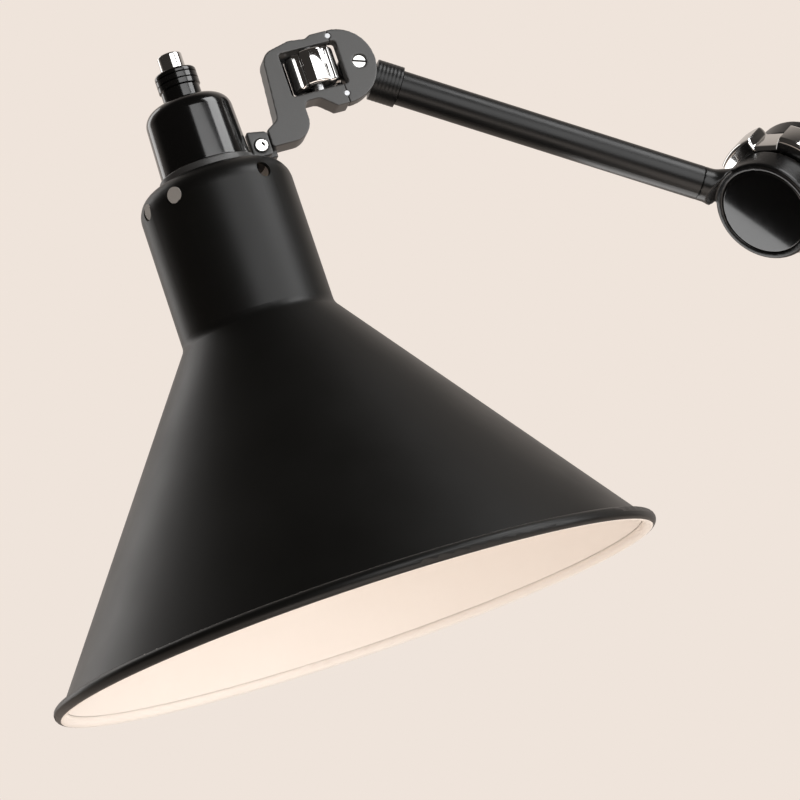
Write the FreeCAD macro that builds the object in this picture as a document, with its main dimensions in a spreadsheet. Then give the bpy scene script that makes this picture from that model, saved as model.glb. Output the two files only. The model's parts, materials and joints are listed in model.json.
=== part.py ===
import FreeCAD, Part
import math
import os

import Sketcher
from FreeCAD import Placement, Rotation, Vector

# An articulating wall lamp in millimetres: a wall plate with a swivel, two tube arms joined by
# hand-wheel joints, and a head of cast bracket, lampholder and conical shade. +Z is up, the wall
# is the plane Y = 0, the room lies at negative Y, and the origin is the wall plate's back centre.

doc = FreeCAD.newDocument("ArticulatingWallLamp")
sheet = doc.addObject("Spreadsheet::Sheet", "Sizes")
sheet_rows = []


class Size:
    """A number in millimetres or degrees that remembers the sheet expression behind it."""

    def __init__(self, value, text):
        self.value = float(value)
        self.text = text

    def __add__(self, other):
        other = as_size(other)
        return Size(self.value + other.value, f"({self.text} + {other.text})")

    def __sub__(self, other):
        other = as_size(other)
        return Size(self.value - other.value, f"({self.text} - {other.text})")

    def __rsub__(self, other):
        return as_size(other) - self

    def __mul__(self, other):
        other = as_size(other)
        return Size(self.value * other.value, f"({self.text} * {other.text})")

    def __truediv__(self, other):
        other = as_size(other)
        return Size(self.value / other.value, f"({self.text} / {other.text})")

    def __neg__(self):
        return Size(-self.value, f"(0 - {self.text})")

    __radd__ = __add__
    __rmul__ = __mul__


def as_size(number):
    return number if isinstance(number, Size) else Size(number, f"({float(number)!r})")


def size(name, number):
    """Writes one driving dimension to the sheet and returns it as a Size."""
    sheet_rows.append(name)
    row = len(sheet_rows)
    sheet.set(f"A{row}", name)
    sheet.set(f"B{row}", str(number))
    sheet.setAlias(f"B{row}", name)
    return Size(number, f"Sizes.{name}")


def tangent_of_half(angle):
    """tan(angle / 2), for the mitre of two walls that meet at an angle in degrees."""
    return Size(math.tan(math.radians(angle.value / 2)), f"tan({angle.text} / 2)")


def cosine(angle):
    return Size(math.cos(math.radians(angle.value)), f"cos({angle.text})")


def sine(angle):
    return Size(math.sin(math.radians(angle.value)), f"sin({angle.text})")


# ---------------------------------------------------------------- driving dimensions

# fits
running_gap = size("running_gap", 0.05)
fixed_gap = size("fixed_gap", 0.02)

# pose of the lamp at rest, in degrees
swivel_angle = size("swivel_angle", -72.0)
shoulder_angle = size("shoulder_angle", 53.6)
lower_roll_angle = size("lower_roll_angle", -59.3)
elbow_angle = size("elbow_angle", 29.9)
neck_cant_angle = size("neck_cant_angle", 24.3)
upper_roll_angle = size("upper_roll_angle", 60.7)
head_angle = size("head_angle", 33.4)

# wall plate, post and swivel
plate_radius = size("plate_radius", 45.0)
plate_thickness = size("plate_thickness", 9.0)
plate_edge = size("plate_edge", 4.0)
mount_spacing = size("mount_spacing", 60.0)
mount_hole_radius = size("mount_hole_radius", 2.5)
mount_sink_radius = size("mount_sink_radius", 4.8)
mount_sink_depth = size("mount_sink_depth", 3.0)
standoff = size("standoff", 52.0)
post_radius = size("post_radius", 10.0)
post_flange_radius = size("post_flange_radius", 16.0)
post_flange_thickness = size("post_flange_thickness", 4.0)
post_screw_radius = size("post_screw_radius", 3.0)
post_screw_head_radius = size("post_screw_head_radius", 5.0)
post_screw_head_height = size("post_screw_head_height", 4.5)
post_screw_depth = size("post_screw_depth", 14.0)
post_screw_sink = size("post_screw_sink", 0.5)
post_screw_socket = size("post_screw_socket", 2.4)
screw_head_clear = size("screw_head_clear", 0.3)
web_gap = size("web_gap", 3.0)
ear_radius = size("ear_radius", 10.5)
ear_thickness = size("ear_thickness", 6.0)
ear_web_thickness = size("ear_web_thickness", 5.0)
barrel_radius = size("barrel_radius", 10.0)
barrel_half_height = size("barrel_half_height", 11.2)
swivel_pin_radius = size("swivel_pin_radius", 3.0)
swivel_head_radius = size("swivel_head_radius", 5.6)
swivel_head_height = size("swivel_head_height", 3.2)
swivel_nut_radius = size("swivel_nut_radius", 5.5)
swivel_nut_height = size("swivel_nut_height", 4.0)
washer_thickness = size("washer_thickness", 0.9)
washer_radius = size("washer_radius", 8.5)

# hand-wheel joints of the shoulder and the elbow
knuckle_reach = size("knuckle_reach", 46.0)
knuckle_neck_radius = size("knuckle_neck_radius", 7.5)
eye_radius = size("eye_radius", 19.0)
eye_thickness = size("eye_thickness", 11.0)
eye_edge_round = size("eye_edge_round", 1.2)
dish_radius = size("dish_radius", 16.4)
dish_depth = size("dish_depth", 1.7)
cap_thickness = size("cap_thickness", 1.3)
cap_gap = size("cap_gap", 0.15)
bolt_radius = size("bolt_radius", 4.0)
bolt_head_radius = size("bolt_head_radius", 7.0)
bolt_head_height = size("bolt_head_height", 3.2)
wheel_radius = size("wheel_radius", 23.6)
wheel_thickness = size("wheel_thickness", 12.0)
wheel_round = size("wheel_round", 2.4)
wheel_lobes = size("wheel_lobes", 5)
wheel_flute_width = size("wheel_flute_width", 13.0)
wheel_flute_depth = size("wheel_flute_depth", 3.8)
wheel_flute_round = size("wheel_flute_round", 1.5)
wheel_first_flute = size("wheel_first_flute", 60.5)
joint_washer_radius = size("joint_washer_radius", 15.0)
neck_root_radius = size("neck_root_radius", 8.6)
neck_end_radius = size("neck_end_radius", 7.0)
neck_length = size("neck_length", 16.5)
neck_inset = size("neck_inset", 5.0)
neck_clear = size("neck_clear", 0.8)
flare_radius = size("flare_radius", 9.4)
flare_start = size("flare_start", 15.0)
flare_end = size("flare_end", 23.0)
flare_length = size("flare_length", 27.0)

# tubes, collars and the spigots they roll on
tube_radius = size("tube_radius", 6.15)
tube_wall = size("tube_wall", 1.1)
socket_depth = size("socket_depth", 10.0)
collar_radius = size("collar_radius", 7.3)
collar_length = size("collar_length", 10.0)
collar_ring_pitch = size("collar_ring_pitch", 1.5)
collar_ring_depth = size("collar_ring_depth", 0.35)
spigot_length = size("spigot_length", 18.0)
spigot_round = size("spigot_round", 1.0)
plug_length = size("plug_length", 12.0)
lower_arm_length = size("lower_arm_length", 240.0)
upper_arm_length = size("upper_arm_length", 156.0)

# head joint and bracket
head_lap = size("head_lap", 8.0)
lap_gap = size("lap_gap", 0.4)
pivot_radius = size("pivot_radius", 2.5)
pivot_recess = size("pivot_recess", 0.5)
pivot_slot_width = size("pivot_slot_width", 0.9)
pivot_slot_depth = size("pivot_slot_depth", 1.0)
pivot_nut_radius = size("pivot_nut_radius", 4.4)
pivot_nut_height = size("pivot_nut_height", 3.6)
fitting_eye_radius = size("fitting_eye_radius", 6.4)
fitting_start = size("fitting_start", 7.0)
bracket_thickness = size("bracket_thickness", 9.0)
bracket_end_radius = size("bracket_end_radius", 13.6)
bracket_end_offset = size("bracket_end_offset", 7.8)
bracket_top = size("bracket_top", 13.3)
bracket_outer = size("bracket_outer", 32.4)
bracket_foot = size("bracket_foot", 39.0)
foot_top = size("foot_top", 15.6)
foot_bottom = size("foot_bottom", 22.0)
shank_inner = size("shank_inner", 23.6)
window_right = size("window_right", 6.0)
window_left = size("window_left", 26.8)
window_bottom = size("window_bottom", 6.5)
window_top = size("window_top", 9.5)
window_round = size("window_round", 1.0)
bar_bottom = size("bar_bottom", 9.2)
parting_x = size("parting_x", 7.9)
key_pin_radius = size("key_pin_radius", 0.9)
thumb_radius = size("thumb_radius", 8.7)
thumb_height = size("thumb_height", 12.8)
thumb_centre = size("thumb_centre", 15.9)
thumb_lobes = size("thumb_lobes", 5)
thumb_flute_radius = size("thumb_flute_radius", 1.9)
thumb_flute_depth = size("thumb_flute_depth", 1.2)
thumb_first_flute = size("thumb_first_flute", 119.0)
stud_radius = size("stud_radius", 2.4)

# lampholder and switch, on the shade's axis
head_reach = size("head_reach", 62.5)
head_drop = size("head_drop", 26.0)
flange_radius = size("flange_radius", 17.0)
flange_height = size("flange_height", 3.0)
lug_tip = size("lug_tip", 23.1)
lug_top = size("lug_top", 11.4)
lug_bottom = size("lug_bottom", 1.6)
lug_screw_x = size("lug_screw_x", 19.8)
lug_screw_z = size("lug_screw_z", 5.6)
lug_screw_radius = size("lug_screw_radius", 1.5)
lug_screw_head_radius = size("lug_screw_head_radius", 2.3)
lug_screw_head_height = size("lug_screw_head_height", 1.6)
lug_screw_socket = size("lug_screw_socket", 1.3)
housing_foot_radius = size("housing_foot_radius", 15.9)
housing_top_radius = size("housing_top_radius", 15.1)
housing_top = size("housing_top", 27.9)
housing_round = size("housing_round", 5.6)
housing_wall = size("housing_wall", 1.4)
switch_neck_radius = size("switch_neck_radius", 6.8)
switch_neck_top = size("switch_neck_top", 33.0)
switch_collar_radius = size("switch_collar_radius", 7.3)
switch_top = size("switch_top", 39.6)
switch_groove = size("switch_groove", 0.5)
switch_inner_flange = size("switch_inner_flange", 9.0)
button_radius = size("button_radius", 4.3)
button_top = size("button_top", 46.0)
button_flange_radius = size("button_flange_radius", 5.2)
button_flange_height = size("button_flange_height", 1.6)
button_travel = size("button_travel", 2.2)
switch_cavity_radius = size("switch_cavity_radius", 5.4)
switch_cavity_top = size("switch_cavity_top", 36.0)
switch_floor = size("switch_floor", 25.6)
spring_wire_radius = size("spring_wire_radius", 0.35)
spring_radius = size("spring_radius", 4.2)
spring_turns = 4
insulator_radius = size("insulator_radius", 12.3)
insulator_top = size("insulator_top", 20.0)
insulator_foot = size("insulator_foot", 21.0)
insulator_floor = size("insulator_floor", 5.0)
shell_radius = size("shell_radius", 7.5)
shell_wall = size("shell_wall", 0.4)
contact_radius = size("contact_radius", 3.0)
contact_height = size("contact_height", 1.5)

# shade
neck_radius = size("neck_radius", 26.8)
neck_height = size("neck_height", 54.5)
neck_round = size("neck_round", 8.5)
cone_height = size("cone_height", 102.5)
cone_angle = size("cone_angle", 35.9)
cone_round = size("cone_round", 5.0)
shade_wall = size("shade_wall", 1.2)
shade_hole_gap = size("shade_hole_gap", 0.3)
bead_radius = size("bead_radius", 2.2)
ring_radius = size("ring_radius", 17.0)
ring_height = size("ring_height", 5.0)
vent_radius = size("vent_radius", 2.8)
vent_drop = size("vent_drop", 7.6)

# bulb
cap_radius = size("cap_radius", 6.9)
cap_length = size("cap_length", 22.0)
glass_radius = size("glass_radius", 20.0)
glass_wall = size("glass_wall", 0.8)
glass_drop = size("glass_drop", 52.0)
glass_neck_radius = size("glass_neck_radius", 6.2)

doc.recompute()

# ---------------------------------------------------------------- drawing helpers

H_AXIS, V_AXIS, ORIGIN_POINT = -1, -2, (-1, 1)
START, END, CENTRE = 1, 2, 3
PLANES = {"X": "YZ_Plane", "Y": "XZ_Plane", "Z": "XY_Plane"}
sub_parts = []


def add_constraint(sketch, kind, first, second, value):
    """Adds a dimension from the first point to the second and ties it to the sheet."""
    index = sketch.addConstraint(Sketcher.Constraint(kind, *first, *second, value.value))
    sketch.setExpression(f"Constraints[{index}]", value.text)


def pin_point(sketch, point, x, y):
    """Fixes a sketch point at x, y."""
    for kind, axis, value in (("DistanceX", V_AXIS, as_size(x)), ("DistanceY", H_AXIS, as_size(y))):
        if abs(value.value) < 1e-9:
            sketch.addConstraint(Sketcher.Constraint("PointOnObject", *point, axis))
        else:
            add_constraint(sketch, kind, ORIGIN_POINT, point, value)


def circle(sketch, x, y, radius):
    x, y = as_size(x), as_size(y)
    shape = Part.Circle(Vector(x.value, y.value, 0), Vector(0, 0, 1), radius.value)
    index = sketch.addGeometry(shape)
    pin_point(sketch, (index, CENTRE), x, y)
    bound = sketch.addConstraint(Sketcher.Constraint("Radius", index, radius.value))
    sketch.setExpression(f"Constraints[{bound}]", radius.text)


def outline(sketch, corners):
    """Draws a closed outline. A corner is (x, y), or (x, y, radius) where it is rounded."""
    corners = [tuple(as_size(v) for v in corner) for corner in corners]
    spots = [Vector(c[0].value, c[1].value, 0) for c in corners]
    count = len(corners)
    leaving, arriving, bends = [], [], []
    for i, corner in enumerate(corners):
        back = (spots[i - 1] - spots[i]).normalize()
        ahead = (spots[(i + 1) % count] - spots[i]).normalize()
        if len(corner) == 2:
            arriving.append(spots[i])
            leaving.append(spots[i])
            bends.append(None)
            continue
        half = back.getAngle(ahead) / 2
        reach = corner[2].value / math.tan(half)
        centre = spots[i] + (back + ahead).normalize() * (corner[2].value / math.sin(half))
        arriving.append(spots[i] + back * reach)
        leaving.append(spots[i] + ahead * reach)
        bends.append((centre, back.cross(ahead).z < 0))
    lines = []
    for i in range(count):
        lines.append(sketch.addGeometry(Part.LineSegment(leaving[i], arriving[(i + 1) % count])))
    for i, corner in enumerate(corners):
        before, after = lines[i - 1], lines[i]
        if bends[i] is None:
            sketch.addConstraint(Sketcher.Constraint("Coincident", before, END, after, START))
            pin_point(sketch, (after, START), corner[0], corner[1])
            continue
        centre, turns_left = bends[i]
        first, last = (arriving[i], leaving[i]) if turns_left else (leaving[i], arriving[i])
        from_centre, to_centre = first - centre, last - centre
        a0 = math.atan2(from_centre.y, from_centre.x)
        a1 = math.atan2(to_centre.y, to_centre.x)
        ring = Part.Circle(centre, Vector(0, 0, 1), corner[2].value)
        arc = sketch.addGeometry(Part.ArcOfCircle(ring, a0, a1))
        near, far = (START, END) if turns_left else (END, START)
        mark = sketch.addGeometry(Part.Point(spots[i]), True)
        pin_point(sketch, (mark, START), corner[0], corner[1])
        sketch.addConstraint(Sketcher.Constraint("Tangent", before, END, arc, near))
        sketch.addConstraint(Sketcher.Constraint("Tangent", arc, far, after, START))
        sketch.addConstraint(Sketcher.Constraint("PointOnObject", mark, START, before))
        sketch.addConstraint(Sketcher.Constraint("PointOnObject", mark, START, after))
        bound = sketch.addConstraint(Sketcher.Constraint("Radius", arc, corner[2].value))
        sketch.setExpression(f"Constraints[{bound}]", corner[2].text)


def new_body(label):
    body = doc.addObject("PartDesign::Body", label)
    body.Label = label
    return body


def origin_feature(body, role):
    return next(item for item in body.Origin.OriginFeatures if item.Role == role)


def new_sketch(body, plane, height=0, shift=0, turn=0, turn_axis=Vector(0, 0, 1)):
    """A sketch on one of the body's own planes, raised by height, shifted and turned in it."""
    height, shift, turn = as_size(height), as_size(shift), as_size(turn)
    sketch = body.newObject("Sketcher::SketchObject", "Sketch")
    sketch.AttachmentSupport = [(origin_feature(body, plane), "")]
    sketch.MapMode = "FlatFace"
    sketch.AttachmentOffset = Placement(
        Vector(shift.value, 0, height.value), Rotation(turn_axis, turn.value)
    )
    sketch.setExpression("AttachmentOffset.Base.x", shift.text)
    sketch.setExpression("AttachmentOffset.Base.z", height.text)
    if abs(turn.value) > 0:
        sketch.setExpression("AttachmentOffset.Rotation.Angle", turn.text)
    return sketch


def revolve(body, axis, corners, cut=False, shift=0, turn=0):
    """Turns an outline of (along, radius) about X, or (radius, along) about Y or Z."""
    plane = "XZ_Plane" if axis == "Z" else "XY_Plane"
    sketch = new_sketch(body, plane, shift=shift, turn=turn)
    outline(sketch, corners)
    kind = "PartDesign::Groove" if cut else "PartDesign::Revolution"
    feature = body.newObject(kind, "Turned")
    feature.Profile = sketch
    feature.ReferenceAxis = (sketch, ["H_Axis" if axis == "X" else "V_Axis"])
    feature.Angle = 360.0
    doc.recompute()
    return feature


def extrude(body, axis, draw, low, high, cut=False, turn=0, turn_axis=Vector(0, 0, 1)):
    """Pads or cuts what draw(sketch) draws, square to the axis, from low to high along it."""
    low, high = as_size(low), as_size(high)
    if axis == "Y":
        start = -low if cut else -high
    else:
        start = high if cut else low
    sketch = new_sketch(body, PLANES[axis], start, turn=turn, turn_axis=turn_axis)
    draw(sketch)
    feature = body.newObject("PartDesign::Pocket" if cut else "PartDesign::Pad", "Extruded")
    feature.Profile = sketch
    length = high - low
    feature.Length = length.value
    feature.setExpression("Length", length.text)
    before = body.Shape.Volume if cut else 0.0
    doc.recompute()
    if cut and body.Shape.Volume > before - 1e-6:
        raise RuntimeError(f"{body.Label}: a cut removed nothing")
    return feature


def cylinder(body, axis, u, v, radius, low, high, cut=False):
    return extrude(body, axis, lambda sketch: circle(sketch, u, v, radius), low, high, cut)


def repeat(body, feature, axis, count):
    """Repeats a feature evenly about one of the body's axes."""
    pattern = body.newObject("PartDesign::PolarPattern", "Repeated")
    pattern.Originals = [feature]
    pattern.Axis = (origin_feature(body, f"{axis}_Axis"), [""])
    pattern.Angle = 360.0
    pattern.Occurrences = int(count.value)
    pattern.setExpression("Occurrences", count.text)
    body.Tip = pattern
    doc.recompute()
    return pattern


def round_edges(body, radius, chosen):
    """Rounds the edges that chosen(edge) accepts."""
    names = [f"Edge{i + 1}" for i, edge in enumerate(body.Shape.Edges) if chosen(edge)]
    if not names:
        raise RuntimeError(f"{body.Label}: no edge to round")
    base = body.Tip
    fillet = body.newObject("PartDesign::Fillet", "Rounded")
    fillet.Base = (base, names)
    fillet.Radius = radius.value
    fillet.setExpression("Radius", radius.text)
    doc.recompute()
    return fillet


def place(body, frame):
    """Sets a finished body in its frame and keeps it for export."""
    body.Placement = frame
    sub_parts.append(body)


def move(x=0, y=0, z=0):
    return Placement(Vector(as_size(x).value, as_size(y).value, as_size(z).value), Rotation())


def spin(axis, angle):
    return Placement(Vector(0, 0, 0), Rotation(Vector(*axis), angle.value))


# ---------------------------------------------------------------- frames of the moving bodies

X, Y, Z = (1, 0, 0), (0, 1, 0), (0, 0, 1)
straight_out = size("straight_out", 270.0)
eye_half = eye_thickness / 2
stack_pitch = eye_thickness + wheel_thickness + washer_thickness + running_gap * 3

wall_frame = Placement()
swivel_frame = move(y=-standoff) * spin(Z, straight_out + swivel_angle)
shoulder_frame = swivel_frame * move(knuckle_reach, stack_pitch) * spin(Y, -shoulder_angle)
lower_frame = shoulder_frame * spin(X, lower_roll_angle)
lower_eye_frame = lower_frame * move(lower_arm_length)
upper_eye_frame = lower_eye_frame * move(y=stack_pitch) * spin(Y, elbow_angle)
neck_start = eye_radius - neck_inset
upper_frame = upper_eye_frame * spin(Z, neck_cant_angle)
fitting_frame = upper_frame * move(upper_arm_length) * spin(X, upper_roll_angle)
head_frame = fitting_frame * move(y=head_lap) * spin(Y, head_angle)
shade_frame = head_frame * move(head_reach, 0, -head_drop)


# ---------------------------------------------------------------- wall plate and swivel


def wall_plate():
    body = new_body("wall_plate")
    front = -plate_thickness
    bevel = plate_thickness - plate_edge
    revolve(
        body,
        "Y",
        [
            (0, 0),
            (0, front),
            (plate_radius - bevel * 1.4, front, bevel * 0.8),
            (plate_radius, -plate_edge, bevel * 0.3),
            (plate_radius, 0),
        ],
    )
    half = mount_spacing / 2
    for side in (half, -half):
        cylinder(body, "Y", side, 0, mount_hole_radius, front, 0, cut=True)
        cylinder(body, "Y", side, 0, mount_sink_radius, front, front + mount_sink_depth, cut=True)
    sink = post_screw_head_height + post_screw_sink
    cylinder(body, "Y", 0, 0, post_screw_radius + fixed_gap, front, 0, cut=True)
    cylinder(body, "Y", 0, 0, post_screw_head_radius + screw_head_clear, -sink, 0, cut=True)
    place(body, wall_frame)


def wall_post():
    """The clevis: a flanged post whose two ears hold the vertical swivel pin."""
    body = new_body("wall_post")
    base = -plate_thickness
    web_front = -(standoff - barrel_radius - web_gap)
    web_back = web_front + ear_web_thickness
    revolve(
        body,
        "Y",
        [
            (0, base),
            (post_flange_radius, base),
            (post_flange_radius, base - post_flange_thickness, 1.2),
            (post_radius, base - post_flange_thickness, 2.5),
            (post_radius, web_back),
            (0, web_back),
        ],
    )
    ear_low = barrel_half_height + washer_thickness + running_gap * 2
    ear_high = ear_low + ear_thickness
    web = [
        (-ear_radius, -ear_high),
        (ear_radius, -ear_high),
        (ear_radius, ear_high),
        (-ear_radius, ear_high),
    ]
    extrude(body, "Y", lambda sketch: outline(sketch, web), web_front, web_back)
    tip_round = ear_radius * 0.96
    ear = [
        (-ear_radius, web_back),
        (-ear_radius, -standoff - ear_radius, tip_round),
        (ear_radius, -standoff - ear_radius, tip_round),
        (ear_radius, web_back),
    ]
    extrude(body, "Z", lambda sketch: outline(sketch, ear), ear_low, ear_high)
    extrude(body, "Z", lambda sketch: outline(sketch, ear), -ear_high, -ear_low)
    bore = swivel_pin_radius + fixed_gap
    cylinder(body, "Z", 0, -standoff, bore, -ear_high, ear_high, cut=True)
    thread_end = base - post_screw_depth
    cylinder(body, "Y", 0, 0, post_screw_radius + fixed_gap, thread_end, base, cut=True)
    place(body, wall_frame)
    return ear_low, ear_high


def post_screw():
    """The socket screw that holds the post to the plate from behind."""
    body = new_body("post_screw")
    head_back = -post_screw_sink
    head_front = head_back - post_screw_head_height
    tip = -(plate_thickness + post_screw_depth - 1)
    revolve(
        body,
        "Y",
        [
            (0, head_back),
            (post_screw_head_radius, head_back),
            (post_screw_head_radius, head_front + fixed_gap),
            (post_screw_radius, head_front + fixed_gap),
            (post_screw_radius, tip),
            (0, tip),
        ],
    )
    socket = [hexagon_corner(post_screw_socket, i) for i in range(6)]
    floor = head_back - post_screw_socket
    extrude(body, "Y", lambda sketch: outline(sketch, socket), floor, head_back, cut=True)
    place(body, wall_frame)


def hexagon_corner(radius, index):
    angle = math.radians(60 * index)
    return (radius * math.cos(angle), radius * math.sin(angle))


def swivel_pin(ear_high):
    body = new_body("swivel_pin")
    seat = ear_high + running_gap
    tip = ear_high + swivel_nut_height + 1
    revolve(
        body,
        "Z",
        [
            (0, -tip),
            (swivel_pin_radius, -tip),
            (swivel_pin_radius, seat),
            (swivel_head_radius, seat),
            (swivel_head_radius, seat + swivel_head_height, 1.4),
            (0, seat + swivel_head_height),
        ],
    )
    place(body, move(y=-standoff))


def swivel_nut(ear_high):
    body = new_body("swivel_nut")
    top = -(ear_high + running_gap)
    hexagon = [hexagon_corner(swivel_nut_radius, i) for i in range(6)]
    extrude(body, "Z", lambda sketch: outline(sketch, hexagon), top - swivel_nut_height, top)
    bore = swivel_pin_radius + fixed_gap
    cylinder(body, "Z", 0, 0, bore, top - swivel_nut_height, top, cut=True)
    place(body, move(y=-standoff))


def swivel_washer(label, low):
    body = new_body(label)
    high = low + washer_thickness
    cylinder(body, "Z", 0, 0, washer_radius, low, high)
    cylinder(body, "Z", 0, 0, swivel_pin_radius + running_gap, low, high, cut=True)
    place(body, move(y=-standoff))


# ---------------------------------------------------------------- hand-wheel joint


def rear_eye(body, centre_x):
    """The eye that the bolt is fixed in, dished at its back for a cap."""
    cylinder(body, "Y", centre_x, 0, eye_radius, -eye_half, eye_half)


def clear_eye_faces(body, centre_x, wheel_side, far_radius=dish_radius):
    """Cuts an arm's neck back from the wheel on one face of its eye and the cap on the other."""
    beyond = eye_radius
    for side, radius in ((wheel_side, wheel_radius + neck_clear), (-wheel_side, far_radius)):
        low, high = (eye_half, beyond) if side > 0 else (-beyond, -eye_half)
        cylinder(body, "Y", centre_x, 0, radius, low, high, cut=True)


def finish_rear_eye(body, centre_x):
    dish = -eye_half + dish_depth
    cylinder(body, "Y", centre_x, 0, dish_radius, -eye_half, dish, cut=True)
    cylinder(body, "Y", centre_x, 0, bolt_radius + fixed_gap, -eye_half, eye_half, cut=True)


def round_eye(body, centre_x):
    """Breaks the two outer edges of an eye's disc."""
    centre = Vector(as_size(centre_x).value, 0, 0)

    def on_rim(edge):
        curve = edge.Curve
        if not isinstance(curve, Part.Circle):
            return False
        near = curve.Center.sub(Vector(centre.x, curve.Center.y, 0)).Length < 1e-4
        return near and abs(curve.Radius - eye_radius.value) < 1e-4

    round_edges(body, eye_edge_round, on_rim)


def joint_bolt(label, frame):
    """The bolt: its shank fixed in the rear eye, its head sunk in the front eye."""
    body = new_body(label)
    back = -eye_half + dish_depth
    seat = stack_pitch + eye_half - dish_depth - bolt_head_height
    revolve(
        body,
        "Y",
        [
            (0, back),
            (bolt_radius, back),
            (bolt_radius, seat),
            (bolt_head_radius, seat),
            (bolt_head_radius, seat + bolt_head_height - fixed_gap, 0.5),
            (0, seat + bolt_head_height - fixed_gap),
        ],
    )
    place(body, frame)


def joint_wheel(label, frame):
    """The lobed hand wheel that jams the two eyes apart."""
    body = new_body(label)
    low = eye_half + running_gap
    high = low + wheel_thickness
    bore = bolt_radius + running_gap
    revolve(
        body,
        "Y",
        [
            (bore, low),
            (wheel_radius, low, wheel_round),
            (wheel_radius, high, wheel_round),
            (bore, high),
        ],
    )
    floor = wheel_radius - wheel_flute_depth
    half = wheel_flute_width / 2
    beyond = wheel_radius + wheel_round
    slot = [
        (floor, -half, wheel_flute_round),
        (beyond, -half),
        (beyond, half),
        (floor, half, wheel_flute_round),
    ]
    flute = extrude(
        body,
        "Y",
        lambda sketch: outline(sketch, slot),
        low,
        high,
        cut=True,
        turn=wheel_first_flute,
    )
    repeat(body, flute, "Y", wheel_lobes)
    place(body, frame)


def joint_washer(label, frame):
    body = new_body(label)
    low = -eye_half - running_gap - washer_thickness
    high = -eye_half - running_gap
    cylinder(body, "Y", 0, 0, joint_washer_radius, low, high)
    cylinder(body, "Y", 0, 0, bolt_radius + running_gap, low, high, cut=True)
    place(body, frame)


def joint_cap(label, frame, side):
    """The gloss cap in an eye's dish: side is 1 at the front, -1 at the back."""
    body = new_body(label)
    seat = (eye_half - dish_depth) * side
    face = seat + cap_thickness * side
    radius = dish_radius - cap_gap
    revolve(body, "Y", [(0, seat), (radius, seat), (radius, face, 0.5), (0, face)])
    place(body, frame)


def cut_front_eye(body):
    """Dish, counterbore and bore of a front eye centred on the origin."""
    dish = eye_half - dish_depth
    front = eye_half + neck_root_radius
    cylinder(body, "Y", 0, 0, dish_radius, dish, front, cut=True)
    sink = dish - bolt_head_height - running_gap
    cylinder(body, "Y", 0, 0, bolt_head_radius + cap_gap, sink, front, cut=True)
    cylinder(body, "Y", 0, 0, bolt_radius + running_gap, -eye_half, front, cut=True)


def base_knuckle():
    """Barrel on the swivel pin, neck and rear eye of the shoulder."""
    body = new_body("base_knuckle")
    bore = swivel_pin_radius + running_gap
    rear_eye(body, knuckle_reach)
    round_eye(body, knuckle_reach)
    cylinder(body, "Z", 0, 0, barrel_radius, -barrel_half_height, barrel_half_height)
    neck_end = knuckle_reach - eye_radius + neck_inset
    revolve(
        body,
        "X",
        [
            (0, 0),
            (0, knuckle_neck_radius),
            (neck_end - neck_inset * 2, knuckle_neck_radius, 4),
            (neck_end, neck_root_radius),
            (neck_end, 0),
        ],
    )
    half = barrel_half_height
    cylinder(body, "Z", 0, 0, bore, -half, half, cut=True)
    clear_eye_faces(body, knuckle_reach, 1)
    finish_rear_eye(body, knuckle_reach)
    place(body, swivel_frame)


# ---------------------------------------------------------------- arms


def neck_outline(length, end_radius):
    """Half section of an arm neck along X that runs from inside its eye to its end."""
    return [
        (0, 0),
        (0, neck_root_radius),
        (neck_inset, neck_root_radius, 3),
        (length * 0.75, end_radius, 5),
        (length, end_radius),
        (length, 0),
    ]


def shoulder_eye():
    """The lower arm's root: front eye, neck, and the spigot that the arm rolls on."""
    body = new_body("shoulder_eye")
    cylinder(body, "Y", 0, 0, eye_radius, -eye_half, eye_half)
    round_eye(body, 0)
    length = neck_inset + neck_length
    revolve(body, "X", neck_outline(length, neck_end_radius), shift=neck_start)
    end = neck_start + length
    spigot = tube_radius - tube_wall - running_gap
    revolve(
        body,
        "X",
        [
            (end - 1, 0),
            (end - 1, spigot),
            (end + collar_length + spigot_length, spigot, 1),
            (end + collar_length + spigot_length, 0),
        ],
    )
    clear_eye_faces(body, 0, -1)
    cut_front_eye(body)
    place(body, shoulder_frame)


def ribbed_collar(label, frame, low):
    """A turned collar with shallow rings. It runs from low to high along X."""
    body = new_body(label)
    high = low + collar_length
    bore = tube_radius - tube_wall
    plain = collar_length / 2 - collar_ring_pitch * 2.5
    floor = collar_radius - collar_ring_depth
    corners = [(low, bore), (low, collar_radius, 0.6)]
    for ring in range(5):
        start = low + plain + collar_ring_pitch * ring
        corners.append((start, collar_radius))
        corners.append((start + collar_ring_pitch * 0.3, floor))
        corners.append((start + collar_ring_pitch * 0.6, floor))
        corners.append((start + collar_ring_pitch * 0.9, collar_radius))
    corners += [(high, collar_radius, 0.6), (high, bore)]
    revolve(body, "X", corners)
    place(body, frame)


def arm_tube(label, frame, low, high):
    body = new_body(label)
    bore = tube_radius - tube_wall
    revolve(body, "X", [(low, bore), (low, tube_radius), (high, tube_radius), (high, bore)])
    place(body, frame)


def elbow_rear_eye():
    """The lower arm's far end: socket for the tube, neck and rear eye."""
    body = new_body("elbow_rear_eye")
    rear_eye(body, 0)
    round_eye(body, 0)
    length = neck_inset + neck_length
    corners = [(-x, *rest) for x, *rest in neck_outline(length, neck_end_radius + 0.6)]
    revolve(body, "X", corners, shift=-neck_start)
    mouth = neck_start + length
    socket = tube_radius + fixed_gap
    cylinder(body, "X", 0, 0, socket, -mouth, socket_depth - mouth, cut=True)
    clear_eye_faces(body, 0, 1)
    finish_rear_eye(body, 0)
    place(body, lower_eye_frame)


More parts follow.
